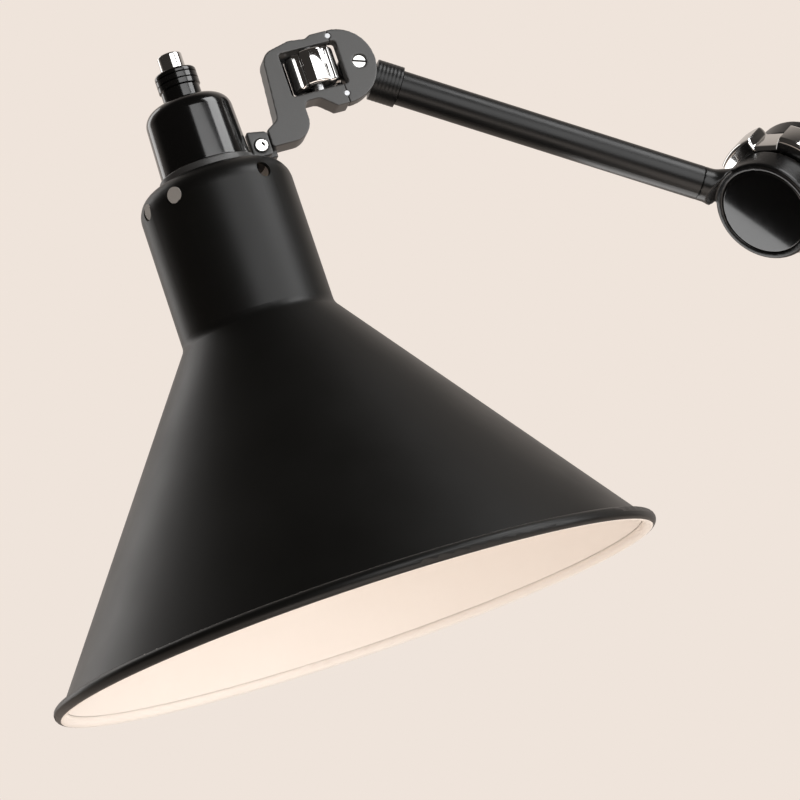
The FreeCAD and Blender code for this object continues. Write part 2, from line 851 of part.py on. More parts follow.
def elbow_front_eye():
    """The upper arm's root: a dished front eye, a flare that leaves at a cant, and its plug."""
    body = new_body("elbow_front_eye")
    cylinder(body, "Y", 0, 0, eye_radius, -eye_half, eye_half)
    round_eye(body, 0)
    plug = tube_radius - tube_wall - fixed_gap
    corners = [
        (0, 0),
        (0, flare_radius),
        (flare_start, flare_radius, 6),
        (flare_end, tube_radius, 8),
        (flare_length, tube_radius),
        (flare_length, plug),
        (flare_length + plug_length, plug, spigot_round),
        (flare_length + plug_length, 0),
    ]
    revolve(body, "X", corners, turn=neck_cant_angle)
    clear_eye_faces(body, 0, -1, eye_radius)
    cut_front_eye(body)
    place(body, upper_eye_frame)


# ---------------------------------------------------------------- head joint


def head_fitting():
    """The eye behind the bracket, and the spigot on which the head rolls in the upper tube."""
    body = new_body("head_fitting")
    spigot = tube_radius - tube_wall - running_gap
    tip = -(fitting_start + collar_length + spigot_length)
    revolve(
        body,
        "X",
        [(tip, 0), (tip, spigot, 1), (-pivot_nut_radius - 0.4, spigot), (-pivot_nut_radius - 0.4, 0)],
    )
    eye_front = head_lap - lap_gap * 2
    eye_back = head_lap - bracket_thickness + 2
    cylinder(body, "Y", 0, 0, fitting_eye_radius, eye_back, eye_front)
    cylinder(body, "Y", 0, 0, pivot_radius + running_gap, eye_back, eye_front, cut=True)
    place(body, fitting_frame)
    return eye_back


def bracket_blank(body):
    """The whole S-shaped outline of the head bracket with its window, before it is parted."""
    half = bracket_thickness / 2
    right = bracket_end_offset - bracket_end_radius
    tip_round = bracket_end_radius * 0.985
    profile = [
        (right, -bracket_end_radius, tip_round),
        (right, bracket_end_radius, tip_round),
        (bracket_end_offset + 6.2, bracket_end_radius),
        (bracket_end_offset + 8.2, bracket_top - 0.7),
        (window_left - 4.8, bracket_top),
        (bracket_outer, bracket_top - 2.4, 5),
        (bracket_outer + 2.0, -(foot_top - 2.8), 3),
        (bracket_foot, -foot_top),
        (bracket_foot, -foot_bottom, 1.2),
        (shank_inner, -foot_bottom, 7),
        (shank_inner, -bar_bottom, 2.4),
        (bracket_end_offset + 9.7, -bar_bottom, 3),
        (bracket_end_offset + 4.5, -bracket_end_radius),
    ]
    extrude(body, "Y", lambda sketch: outline(sketch, profile), -half, half)
    window = [
        (window_right, -window_bottom, window_round),
        (window_left, -window_bottom, window_round),
        (window_left, window_top, window_round),
        (window_right, window_top, window_round),
    ]
    extrude(body, "Y", lambda sketch: outline(sketch, window), -half, half, cut=True)


def cut_key_holes(body, half):
    for x, z in key_pin_spots():
        cylinder(body, "Y", x, z, key_pin_radius + fixed_gap, half - 5, half, cut=True)


def key_pin_spots():
    """The two key pins sit on the parting line, above and below the window."""
    upper = (window_top + bracket_end_radius) / 2
    lower = (window_bottom + bracket_end_radius) / 2
    return [(parting_x, upper), (parting_x, -lower)]


def head_bracket():
    """The cast shank and window, with the foot's tongue that laps behind the lug."""
    body = new_body("head_bracket")
    half = bracket_thickness / 2
    bracket_blank(body)
    far = bracket_end_offset - bracket_end_radius - 1
    tall = bracket_end_radius + 1
    end_side = [(far, -tall), (parting_x, -tall), (parting_x, tall), (far, tall)]
    extrude(body, "Y", lambda sketch: outline(sketch, end_side), -half, half, cut=True)
    tongue_tip = head_reach - flange_radius - 0.4
    tongue = [
        (bracket_foot - 2, -(head_drop - lug_bottom)),
        (tongue_tip, -(head_drop - lug_bottom), 1),
        (tongue_tip, -foot_top, 1),
        (bracket_foot - 2, -foot_top),
    ]
    extrude(body, "Y", lambda sketch: outline(sketch, tongue), -half, -fixed_gap)
    cut_key_holes(body, half)
    stud = stud_radius + fixed_gap
    cylinder(body, "Z", thumb_centre, 0, stud, window_top - 1, bracket_top + 1, cut=True)
    cylinder(body, "Z", thumb_centre, 0, stud, -window_bottom - 1.9, -window_bottom + 1, cut=True)
    hole_x = head_reach - lug_screw_x
    hole_z = lug_screw_z - head_drop
    cylinder(body, "Y", hole_x, hole_z, lug_screw_radius + fixed_gap, -half, 0, cut=True)
    place(body, head_frame)


def bracket_end():
    """The round end with the pivot, keyed to the bracket by two pins; its back is cut for the lap."""
    body = new_body("bracket_end")
    half = bracket_thickness / 2
    bracket_blank(body)
    far = head_reach
    tall = head_drop
    shank_side = [(parting_x, -tall), (far, -tall), (far, tall), (parting_x, tall)]
    extrude(body, "Y", lambda sketch: outline(sketch, shank_side), -half, half, cut=True)
    edge = parting_x + 1
    far = bracket_end_offset - bracket_end_radius - 1
    lap = [(far, -tall), (edge, -tall), (edge, tall), (far, tall)]
    extrude(body, "Y", lambda sketch: outline(sketch, lap), -half, -lap_gap, cut=True)
    cut_key_holes(body, half)
    cylinder(body, "Y", 0, 0, pivot_radius + fixed_gap, -half, half, cut=True)
    place(body, head_frame)


def pivot_screw(eye_back):
    """The slotted screw that the head tilts on."""
    body = new_body("pivot_screw")
    face = bracket_thickness / 2 - pivot_recess
    back = eye_back - head_lap - pivot_nut_height - 0.6
    revolve(
        body, "Y", [(0, back), (pivot_radius, back), (pivot_radius, face, 0.4), (0, face)]
    )
    long = pivot_radius + 1
    half = pivot_slot_width / 2
    slot = [(-long, -half), (long, -half), (long, half), (-long, half)]
    extrude(
        body,
        "Y",
        lambda sketch: outline(sketch, slot),
        face - pivot_slot_depth,
        face,
        cut=True,
        turn=size("pivot_slot_turn", 18.0),
    )
    place(body, head_frame)


def pivot_nut(eye_back):
    body = new_body("pivot_nut")
    high = eye_back - head_lap - running_gap
    low = high - pivot_nut_height
    hexagon = [hexagon_corner(pivot_nut_radius, i) for i in range(6)]
    extrude(body, "Y", lambda sketch: outline(sketch, hexagon), low, high)
    cylinder(body, "Y", 0, 0, pivot_radius + fixed_gap, low, high, cut=True)
    place(body, head_frame)


def key_pin(label, spot):
    body = new_body(label)
    face = bracket_thickness / 2
    cylinder(body, "Y", spot[0], spot[1], key_pin_radius, face - 5 + fixed_gap, face - 0.1)
    place(body, head_frame)


def thumb_wheel():
    """The fluted wheel in the bracket's window."""
    body = new_body("thumb_wheel")
    middle = (window_top - window_bottom) / 2
    low = -thumb_height / 2
    high = thumb_height / 2
    bore = stud_radius + running_gap
    revolve(
        body,
        "Z",
        [(bore, low), (thumb_radius, low, 1.2), (thumb_radius, high, 1.2), (bore, high)],
    )
    reach = thumb_radius + thumb_flute_radius - thumb_flute_depth
    along, across = reach * cosine(thumb_first_flute), reach * sine(thumb_first_flute)
    flute = cylinder(body, "Z", along, across, thumb_flute_radius, low, high, cut=True)
    repeat(body, flute, "Z", thumb_lobes)
    place(body, head_frame * move(thumb_centre, 0, middle))


def thumb_stud():
    body = new_body("thumb_stud")
    low = -window_bottom - 1.8
    high = bracket_top - 1.2
    revolve(
        body, "Z", [(0, low), (stud_radius, low), (stud_radius, high, 0.5), (0, high)]
    )
    place(body, head_frame * move(thumb_centre))


# ---------------------------------------------------------------- lampholder


def holder_flange():
    """The ring between lampholder and shade, with the lug that the bracket's foot is screwed to."""
    body = new_body("holder_flange")
    cylinder(body, "Z", 0, 0, flange_radius, 0, flange_height)
    lug = [
        (-lug_tip, lug_bottom, 1),
        (-lug_tip, lug_top - 1.2, 1.5),
        (-(housing_foot_radius + 0.3), lug_top),
        (-(housing_foot_radius + 0.3), flange_height),
        (-(housing_foot_radius - 3), flange_height),
        (-(housing_foot_radius - 3), lug_bottom),
    ]
    half = bracket_thickness / 2
    extrude(body, "Y", lambda sketch: outline(sketch, lug), 0, half)
    cylinder(body, "Z", 0, 0, insulator_radius + fixed_gap * 5, 0, flange_height, cut=True)
    screw = lug_screw_radius + cap_gap
    cylinder(body, "Y", -lug_screw_x, lug_screw_z, screw, 0, half, cut=True)
    sink = half - lug_screw_head_height
    head = lug_screw_head_radius + cap_gap
    cylinder(body, "Y", -lug_screw_x, lug_screw_z, head, sink, half, cut=True)
    place(body, shade_frame)


def lug_screw():
    """The socket-head screw through the lug into the bracket's tongue."""
    body = new_body("lug_screw")
    half = bracket_thickness / 2
    seat = half - lug_screw_head_height + running_gap
    face = half + 0.6
    revolve(
        body,
        "Y",
        [
            (0, -half),
            (lug_screw_radius, -half),
            (lug_screw_radius, seat),
            (lug_screw_head_radius, seat),
            (lug_screw_head_radius, face, 0.3),
            (0, face),
        ],
    )
    socket = [hexagon_corner(lug_screw_socket, i) for i in range(6)]
    extrude(body, "Y", lambda sketch: outline(sketch, socket), face - 1.2, face, cut=True)
    place(body, shade_frame * move(-lug_screw_x, 0, lug_screw_z))


def holder_housing():
    """The gloss shell over the lampholder, with a rounded shoulder."""
    body = new_body("holder_housing")
    foot = flange_height + running_gap
    inner_top = housing_top - housing_wall
    opening = switch_neck_radius + fixed_gap * 2
    revolve(
        body,
        "Z",
        [
            (housing_foot_radius - housing_wall, foot),
            (housing_foot_radius, foot, 0.5),
            (housing_top_radius, housing_top, housing_round),
            (opening, housing_top),
            (opening, inner_top),
            (housing_top_radius - housing_wall, inner_top, housing_round - housing_wall),
        ],
    )
    place(body, shade_frame)


def switch_body():
    """Neck and grooved collar of the push switch, held by a flange inside the housing."""
    body = new_body("switch_body")
    inner_top = housing_top - housing_wall - running_gap
    collar_low = switch_neck_top
    groove = switch_groove
    third = (switch_top - collar_low) / 3
    guide = button_radius + running_gap
    revolve(
        body,
        "Z",
        [
            (0, switch_floor - 1.5),
            (switch_inner_flange, switch_floor - 1.5),
            (switch_inner_flange, inner_top),
            (switch_neck_radius, inner_top),
            (switch_neck_radius, collar_low),
            (switch_collar_radius, collar_low + groove),
            (switch_collar_radius, collar_low + third),
            (switch_collar_radius - groove, collar_low + third + groove / 2),
            (switch_collar_radius, collar_low + third + groove),
            (switch_collar_radius, collar_low + third * 2),
            (switch_collar_radius - groove, collar_low + third * 2 + groove / 2),
            (switch_collar_radius, collar_low + third * 2 + groove),
            (switch_collar_radius, switch_top, 1),
            (guide, switch_top),
            (guide, switch_cavity_top),
            (switch_cavity_radius, switch_cavity_top),
            (switch_cavity_radius, switch_floor),
            (0, switch_floor),
        ],
    )
    place(body, shade_frame)


def push_button():
    body = new_body("push_button")
    flange_top = switch_cavity_top - running_gap
    flange_low = flange_top - button_flange_height
    revolve(
        body,
        "Z",
        [
            (0, flange_low),
            (button_flange_radius, flange_low),
            (button_flange_radius, flange_top),
            (button_radius, flange_top),
            (button_radius, button_top, 0.7),
            (0, button_top),
        ],
    )
    place(body, shade_frame)


def button_spring():
    """A wire coil between the switch floor and the button, on quarter-turn arcs."""
    flange_low = switch_cavity_top - running_gap - button_flange_height
    low = switch_floor + spring_wire_radius + 0.02
    high = flange_low - spring_wire_radius - 0.02
    quarters = spring_turns * 4
    rise = (high - low) / quarters

    def spot(quarter):
        angle = math.pi / 2 * quarter
        radius = spring_radius.value
        height = low.value + rise.value * quarter
        return Vector(radius * math.cos(angle), radius * math.sin(angle), height)

    arcs = [Part.Arc(spot(i), spot(i + 0.5), spot(i + 1)).toShape() for i in range(quarters)]
    path = Part.Wire(arcs)
    start = arcs[0].tangentAt(arcs[0].FirstParameter)
    ring = Part.Wire(Part.Circle(spot(0), start, spring_wire_radius.value).toShape())
    feature = doc.addObject("Part::Feature", "button_spring")
    feature.Label = "button_spring"
    feature.Shape = Part.Solid(path.makePipeShell([ring], True, False).Shells[0])
    place(feature, shade_frame)


def holder_insulator():
    """The insulating body that carries the screw shell and the centre contact."""
    body = new_body("holder_insulator")
    bore = shell_radius + fixed_gap
    revolve(
        body,
        "Z",
        [
            (bore, -insulator_foot, 0.4),
            (insulator_radius, -insulator_foot, 1),
            (insulator_radius, insulator_top, 1.5),
            (0, insulator_top),
            (0, insulator_floor),
            (bore, insulator_floor),
        ],
    )
    place(body, shade_frame)


def screw_shell():
    """The threaded metal shell that the bulb's cap screws into."""
    body = new_body("screw_shell")
    low = -insulator_foot + 1
    high = insulator_floor - 0.5
    inner = shell_radius - shell_wall
    revolve(body, "Z", [(inner, low), (shell_radius, low), (shell_radius, high), (inner, high)])
    place(body, shade_frame)


def centre_contact():
    body = new_body("centre_contact")
    top = insulator_floor - fixed_gap
    low = top - contact_height
    revolve(body, "Z", [(0, low), (contact_radius, low, 0.5), (contact_radius, top), (0, top)])
    place(body, shade_frame)


# ---------------------------------------------------------------- shade and bulb


def shade():
    """The spun shade: neck with rounded shoulder, cone, rolled bead and round vents."""
    body = new_body("shade")
    hole = insulator_radius + shade_hole_gap
    rim = Size(
        neck_radius.value + cone_height.value * math.tan(math.radians(cone_angle.value)),
        f"({neck_radius.text} + {cone_height.text} * tan({cone_angle.text}))",
    )
    rim_z = -(neck_height + cone_height)
    mitre = shade_wall * tangent_of_half(cone_angle)
    inner_neck = neck_radius - shade_wall
    step_r = shade_wall * cosine(cone_angle)
    step_z = shade_wall * sine(cone_angle)
    revolve(
        body,
        "Z",
        [
            (hole, -shade_wall),
            (hole, 0),
            (neck_radius, 0, neck_round),
            (neck_radius, -neck_height, cone_round),
            (rim, rim_z),
            (rim - step_r, rim_z - step_z),
            (inner_neck, -(neck_height + mitre), cone_round + shade_wall),
            (inner_neck, -shade_wall, neck_round - shade_wall),
        ],
    )
    bead = new_sketch(body, "XZ_Plane")
    circle(bead, rim + bead_radius * 0.55, rim_z - bead_radius * 0.75, bead_radius)
    roll = body.newObject("PartDesign::Revolution", "Bead")
    roll.Profile = bead
    roll.ReferenceAxis = (bead, ["V_Axis"])
    roll.Angle = 360.0
    doc.recompute()
    across = (neck_radius + 2) * 2
    for name, angle in (("vent_a_angle", 15.0), ("vent_b_angle", 47.0), ("vent_c_angle", 120.0)):
        turn = size(name, angle)
        vents = new_sketch(body, "YZ_Plane", turn=turn, turn_axis=Vector(0, 1, 0))
        circle(vents, 0, -vent_drop, vent_radius)
        pair = body.newObject("PartDesign::Pocket", "VentPair")
        pair.Profile = vents
        pair.SideType = "Symmetric"
        pair.Length = across.value
        pair.setExpression("Length", across.text)
    doc.recompute()
    place(body, shade_frame)


def shade_ring():
    """The ring that clamps the shade up against the flange."""
    body = new_body("shade_ring")
    top = -shade_wall - running_gap
    bore = insulator_radius + running_gap
    revolve(
        body,
        "Z",
        [
            (bore, top - ring_height),
            (ring_radius - 2, top - ring_height, 0.6),
            (ring_radius - 2, top - 1.5),
            (ring_radius, top - 1.5),
            (ring_radius, top),
            (bore, top),
        ],
    )
    place(body, shade_frame)


def bulb_cap():
    """The bulb's metal screw cap with its centre contact."""
    body = new_body("bulb_cap")
    top = insulator_floor - contact_height - fixed_gap * 2
    shoulder = top - 3
    low = shoulder - cap_length
    revolve(
        body,
        "Z",
        [
            (0, low),
            (cap_radius, low),
            (cap_radius, shoulder, 0.8),
            (contact_radius, top - 1),
            (contact_radius - 1, top),
            (0, top),
        ],
    )
    place(body, shade_frame)
    return low


def bulb_glass(seat):
    """The round glass bulb, a thin blown shell that is closed by its cap."""
    body = new_body("bulb_glass")
    top = seat - fixed_gap
    centre = -glass_drop
    wide = glass_radius
    thin = glass_wall
    revolve(
        body,
        "Z",
        [
            (0, centre - wide),
            (wide, centre - wide, wide * 0.95),
            (wide, centre + wide * 0.55, wide * 0.6),
            (glass_neck_radius, top - 3, 3),
            (glass_neck_radius, top),
            (glass_neck_radius - thin, top),
            (glass_neck_radius - thin, top - 3, 3),
            (wide - thin, centre + wide * 0.55 - thin * 0.5, wide * 0.6),
            (wide - thin, centre - wide + thin, (wide - thin) * 0.95),
            (0, centre - wide + thin),
        ],
    )
    place(body, shade_frame)


# ---------------------------------------------------------------- assembly

wall_plate()
ear_low, ear_high = wall_post()
post_screw()
swivel_pin(ear_high)
swivel_nut(ear_high)
swivel_washer("swivel_washer_top", barrel_half_height + running_gap)
swivel_washer("swivel_washer_bottom", -(barrel_half_height + running_gap + washer_thickness))

base_knuckle()
joint_bolt("shoulder_bolt", swivel_frame * move(knuckle_reach))
joint_wheel("shoulder_wheel", swivel_frame * move(knuckle_reach))
joint_cap("shoulder_cap_back", swivel_frame * move(knuckle_reach), -1)
shoulder_eye()
joint_washer("shoulder_washer", shoulder_frame)
joint_cap("shoulder_cap_front", shoulder_frame, 1)

collar_start = neck_start + neck_inset + neck_length
ribbed_collar("lower_collar", lower_frame, collar_start + running_gap)
tube_seat = neck_start + neck_inset + neck_length - socket_depth
arm_tube(
    "lower_tube",
    lower_frame,
    collar_start + collar_length + running_gap,
    lower_arm_length - tube_seat - fixed_gap,
)
elbow_rear_eye()
joint_bolt("elbow_bolt", lower_eye_frame)
joint_wheel("elbow_wheel", lower_eye_frame)
joint_cap("elbow_cap_back", lower_eye_frame, -1)
elbow_front_eye()
joint_washer("elbow_washer", upper_eye_frame)
joint_cap("elbow_cap_front", upper_eye_frame, 1)
collar_end = upper_arm_length - fitting_start - collar_length
arm_tube(
    "upper_tube",
    upper_frame,
    flare_length + fixed_gap,
    collar_end - running_gap,
)
ribbed_collar("head_collar", fitting_frame, -(fitting_start + collar_length))
eye_back = head_fitting()

head_bracket()
bracket_end()
pivot_screw(eye_back)
pivot_nut(eye_back)
for pin_name, pin_spot in zip(("key_pin_upper", "key_pin_lower"), key_pin_spots()):
    key_pin(pin_name, pin_spot)
thumb_wheel()
thumb_stud()

holder_flange()
lug_screw()
holder_housing()
switch_body()
push_button()
button_spring()
holder_insulator()
screw_shell()
centre_contact()
shade()
shade_ring()
bulb_glass(bulb_cap())

# ---------------------------------------------------------------- checks and export

doc.recompute()
for item in doc.Objects:
    if "Invalid" in item.State or "Error" in item.State:
        raise RuntimeError(f"{item.Label} did not compute: {item.State}")

os.makedirs("parts", exist_ok=True)
for part in sub_parts:
    if part.Shape.isNull() or not part.Shape.isValid():
        raise RuntimeError(f"{part.Label} has no valid shape")
    part.Shape.exportStep(os.path.join("parts", f"{part.Label}.step"))
    print(f"{part.Label:24s} {part.Shape.Volume:12.1f} mm3, {len(part.Shape.Solids)} solid")
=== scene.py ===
# %% [markdown]
# # An articulating wall lamp
# The lamp is packed from CAD as a fixed frame of rigid nodes. This notebook gives every node its
# finish, replaces the castings, fluted wheels, collars and the switch's spring with softer, finer
# pieces, and sets a plain studio round them. Everything is in metres, in the CAD's own frame:
# +Z up, the wall at Y = 0 and the room at -Y.

import json
import math

import bmesh
import bpy
from mathutils import Matrix, Vector

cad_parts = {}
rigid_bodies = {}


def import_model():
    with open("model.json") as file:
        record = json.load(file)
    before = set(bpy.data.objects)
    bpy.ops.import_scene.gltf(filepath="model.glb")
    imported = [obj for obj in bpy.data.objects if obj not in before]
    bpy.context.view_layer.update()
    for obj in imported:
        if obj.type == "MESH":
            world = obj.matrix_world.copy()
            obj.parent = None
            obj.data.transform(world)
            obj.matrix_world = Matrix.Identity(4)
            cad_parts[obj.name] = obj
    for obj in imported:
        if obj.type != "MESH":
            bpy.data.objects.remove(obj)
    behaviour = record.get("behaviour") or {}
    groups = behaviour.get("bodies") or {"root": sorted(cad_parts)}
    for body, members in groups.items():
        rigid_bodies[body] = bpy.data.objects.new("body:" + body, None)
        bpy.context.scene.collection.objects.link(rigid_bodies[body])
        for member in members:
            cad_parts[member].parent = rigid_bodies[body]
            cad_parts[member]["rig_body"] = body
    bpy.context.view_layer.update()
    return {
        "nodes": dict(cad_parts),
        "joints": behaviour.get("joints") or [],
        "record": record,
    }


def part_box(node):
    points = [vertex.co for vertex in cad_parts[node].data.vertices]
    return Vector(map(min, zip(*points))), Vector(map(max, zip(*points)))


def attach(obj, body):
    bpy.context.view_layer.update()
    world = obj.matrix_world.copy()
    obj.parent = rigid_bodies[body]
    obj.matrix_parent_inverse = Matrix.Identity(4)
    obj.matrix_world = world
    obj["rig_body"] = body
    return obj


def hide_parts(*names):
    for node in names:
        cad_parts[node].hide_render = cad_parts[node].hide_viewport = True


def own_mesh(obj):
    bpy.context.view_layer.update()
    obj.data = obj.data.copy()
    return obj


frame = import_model()
nodes = frame["nodes"]
joints = {joint["name"]: joint for joint in frame["joints"]}
MM = 0.001

# %% [markdown]
# ## Places to measure from
# A piece could be placed by typed numbers, but then it would slip when the CAD changes. Here each
# place is an axis that the record states for a joint, with heights and radii measured from the
# nodes themselves, so a piece always sits on what carries it.


# %% Local frames of the joints
def axes_frame(origin, up, across):
    """A matrix at origin with Z along up and X as near to across as it can be."""
    z = Vector(up).normalized()
    y = z.cross(Vector(across)).normalized()
    x = y.cross(z)
    turn = Matrix((x, y, z)).transposed().to_4x4()
    return Matrix.Translation(Vector(origin)) @ turn


def joint_axis(name):
    return Vector(joints[name]["axis"])


def joint_place(name, across):
    """The frame of a joint: its own point, with Z along its axis."""
    return axes_frame(joints[name]["pos_m"], joint_axis(name), across)


def box_centre(node):
    low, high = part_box(node)
    return (low + high) / 2


UP = (0, 0, 1)
head_up = joint_axis("thumb_wheel_turn")
head_front = joint_axis("head_tilt")
head_place = joint_place("head_tilt", head_up)
thumb_place = joint_place("thumb_wheel_turn", head_front)
shade_place = axes_frame(box_centre("push_button"), -joint_axis("switch_press"), head_front)
elbow_place = joint_place("elbow_wheel_turn", UP)
shoulder_place = joint_place("shoulder_wheel_turn", UP)
print("shade axis", [round(v, 3) for v in shade_place.col[2][:3]])

# %% [markdown]
# ## Measures of a node
# A turned piece is known by three numbers: where it starts and ends along its axis, and its
# largest radius. They are read from the node's points, seen from the local frame.


# %% Measure a node in a local frame
def local_points(node, place):
    back = place.inverted()
    return [back @ vertex.co for vertex in nodes[node].data.vertices]


def turned_size(node, place):
    """(lowest height, highest height, largest radius) of a node about a frame's Z axis."""
    points = local_points(node, place)
    heights = [p.z for p in points]
    return min(heights), max(heights), max(p.xy.length for p in points)


print("push button", [round(v / MM, 2) for v in turned_size("push_button", shade_place)])

# %% [markdown]
# ## A small kit for materials
# Colours are written as sRGB hex values and turned linear in one place. One function adds a node
# with its values, its links and its own settings, so a material reads from top to bottom. Patterns
# run on Object coordinates, which are metres here, so a grain of 0.5 mm has scale 2000. A Mix node
# for colours takes its share on socket 0 and its two colours on sockets 6 and 7.


# %% Colours and nodes
def colour(code):
    """An sRGB hex value as a linear colour with alpha 1."""
    channels = [int(code[i : i + 2], 16) / 255 for i in (1, 3, 5)]
    return [c / 12.92 if c <= 0.04045 else ((c + 0.055) / 1.055) ** 2.4 for c in channels] + [1]


def add(tree, kind, values=None, links=None, **settings):
    """Adds a node: values and links by input name or number, settings on the node itself."""
    node = tree.nodes.new("ShaderNode" + kind)
    for key, value in settings.items():
        setattr(node, key, value)
    for key, value in (values or {}).items():
        node.inputs[key].default_value = value
    for key, source in (links or {}).items():
        tree.links.new(source, node.inputs[key])
    return node


def new_material(name):
    """A material with its tree cleared, and the Object coordinates that its patterns read."""
    material = bpy.data.materials.new(name)
    material.use_nodes = True
    tree = material.node_tree
    tree.nodes.clear()
    return material, tree, add(tree, "TexCoord").outputs["Object"]


def close(tree, shader):
    add(tree, "OutputMaterial", links={"Surface": shader.outputs[0]})


def grain(size_mm):
    """The scale of a pattern on Object coordinates whose features are this wide."""
    return 1 / (size_mm * MM)


print("black as linear", [round(c, 4) for c in colour("#090908")])

# %% [markdown]
# ## Satin black powder coat
# The shade, arms and castings are painted steel: powder sprayed on dry and baked, which leaves a
# satin skin with a very fine orange peel. The coat is a dark dielectric. Its roughness and tone
# wander a little over a few centimetres, and its peel is a bump under a millimetre wide.

# %% Powder coats
CLOUD_MM = 28
CLOUD_TONE = 1.25
PAINT_IOR = 1.5


def powder_coat(name, code, roughness, peel_mm, peel_depth_mm, level):
    """A paint whose peel is this wide and deep, with the shader's specular level."""
    material, tree, place = new_material(name)
    cloud = add(tree, "TexNoise", {"Scale": grain(CLOUD_MM), "Detail": 3}, {"Vector": place})
    peel = add(tree, "TexNoise", {"Scale": grain(peel_mm), "Detail": 2}, {"Vector": place})
    bump = add(
        tree,
        "Bump",
        {"Strength": 0.35, "Distance": peel_depth_mm * MM},
        {"Height": peel.outputs["Fac"]},
    )
    spread = add(
        tree,
        "MapRange",
        {"From Min": 0.3, "From Max": 0.7, "To Min": roughness - 0.03, "To Max": roughness + 0.04},
        {"Value": cloud.outputs["Fac"]},
    )
    tone = add(
        tree,
        "Mix",
        {6: colour(code), 7: [c * CLOUD_TONE for c in colour(code)[:3]] + [1]},
        {0: cloud.outputs["Fac"]},
        data_type="RGBA",
    )
    shader = add(
        tree,
        "BsdfPrincipled",
        {"IOR": PAINT_IOR, "Specular IOR Level": level},
        {
            "Base Color": tone.outputs[2],
            "Roughness": spread.outputs[0],
            "Normal": bump.outputs[0],
        },
    )
    close(tree, shader)
    return material


shade_black = powder_coat(
    "satin_black_powder_coat",
    "#090908",
    roughness=0.38,
    peel_mm=0.7,
    peel_depth_mm=0.012,
    level=0.34,
)
arm_black = powder_coat(
    "satin_black_arm_paint",
    "#0A0A0A",
    roughness=0.32,
    peel_mm=0.9,
    peel_depth_mm=0.008,
    level=0.4,
)
casting_black = powder_coat(
    "satin_black_casting_paint",
    "#090909",
    roughness=0.28,
    peel_mm=0.8,
    peel_depth_mm=0.01,
    level=0.4,
)
print("made", shade_black.name, arm_black.name, casting_black.name)

# %% [markdown]
# ## Dark grey cast bracket
# The bracket is a zinc die casting under thin dark grey paint. A casting keeps a faint sandy grain
# from its mould, so the bump has two sizes: sand of 0.5 mm, made stronger on soft swells of 3 mm.

# %% Cast bracket
SAND_MM = 0.5
SWELL_MM = 3
SAND_DEPTH_MM = 0.03


def cast_grey():
    material, tree, place = new_material("grey_painted_zinc_casting")
    sand = add(tree, "TexNoise", {"Scale": grain(SAND_MM), "Detail": 3}, {"Vector": place})
    swell = add(tree, "TexNoise", {"Scale": grain(SWELL_MM), "Detail": 1}, {"Vector": place})
    both = add(
        tree,
        "Math",
        links={0: swell.outputs["Fac"], 1: sand.outputs["Fac"], 2: sand.outputs["Fac"]},
        operation="MULTIPLY_ADD",
    )
    bump = add(
        tree,
        "Bump",
        {"Strength": 0.3, "Distance": SAND_DEPTH_MM * MM},
        {"Height": both.outputs[0]},
    )
    tone = add(
        tree,
        "Mix",
        {6: colour("#333333"), 7: colour("#3D3D3C")},
        {0: sand.outputs["Fac"]},
        data_type="RGBA",
    )
    shader = add(
        tree,
        "BsdfPrincipled",
        {"IOR": PAINT_IOR, "Roughness": 0.38, "Specular IOR Level": 0.7},
        {"Base Color": tone.outputs[2], "Normal": bump.outputs[0]},
    )
    close(tree, shader)
    return material


bracket_grey = cast_grey()
print("made", bracket_grey.name)

# %% [markdown]
# ## Gloss black
# The lampholder's shell and the round caps are moulded and polished, like black phenolic. The
# body colour is nearly black, the skin is almost a mirror, and faint swirls from polishing show
# only in the roughness.

# %% Gloss black
SWIRL_MM = 9
SWIRL_ROUGHNESS = 0.06


def gloss_black(name, code, roughness):
    material, tree, place = new_material(name)
    swirl = add(
        tree,
        "TexNoise",
        {"Scale": grain(SWIRL_MM), "Detail": 6, "Distortion": 1.5},
        {"Vector": place},
    )
    spread = add(
        tree,
        "MapRange",
        {"To Min": roughness, "To Max": roughness + SWIRL_ROUGHNESS},
        {"Value": swirl.outputs["Fac"]},
    )
    shader = add(
        tree,
        "BsdfPrincipled",
        {"Base Color": colour(code), "IOR": 1.54, "Coat Weight": 0.4, "Coat Roughness": 0.05},
        {"Roughness": spread.outputs[0]},
    )
    close(tree, shader)
    return material


holder_gloss = gloss_black("polished_black_phenolic", "#060606", roughness=0.12)
cap_gloss = gloss_black("polished_black_cap", "#050505", roughness=0.06)
print("made", holder_gloss.name, cap_gloss.name)

# %% [markdown]
# ## Metals
# Chrome plate is a mirror with a slightly cool tint, and its roughness only just varies where it
# has been wiped. Turned steel has fine rings, drawn here as stretched noise, and brass the same in
# a warmer colour. Metals keep the shader's default IOR, as Metallic replaces it.


# %% Chrome, steel and brass
def metal(name, code, low, high, size_mm, stretch=1, bump_mm=0.0):
    """A metal whose roughness wanders from low to high over marks of this size."""
    material, tree, place = new_material(name)
    scaled = add(tree, "Mapping", {"Scale": (1, 1, stretch)}, {"Vector": place})
    marks = add(
        tree,
        "TexNoise",
        {"Scale": grain(size_mm), "Detail": 4},
        {"Vector": scaled.outputs[0]},
    )
    spread = add(
        tree,
        "MapRange",
        {"From Min": 0.35, "From Max": 0.65, "To Min": low, "To Max": high},
        {"Value": marks.outputs["Fac"]},
    )
    links = {"Roughness": spread.outputs[0]}
    if bump_mm:
        bump = add(
            tree,
            "Bump",
            {"Strength": 0.4, "Distance": bump_mm * MM},
            {"Height": marks.outputs["Fac"]},
        )
        links["Normal"] = bump.outputs[0]
    shader = add(tree, "BsdfPrincipled", {"Base Color": colour(code), "Metallic": 1}, links)
    close(tree, shader)
    return material


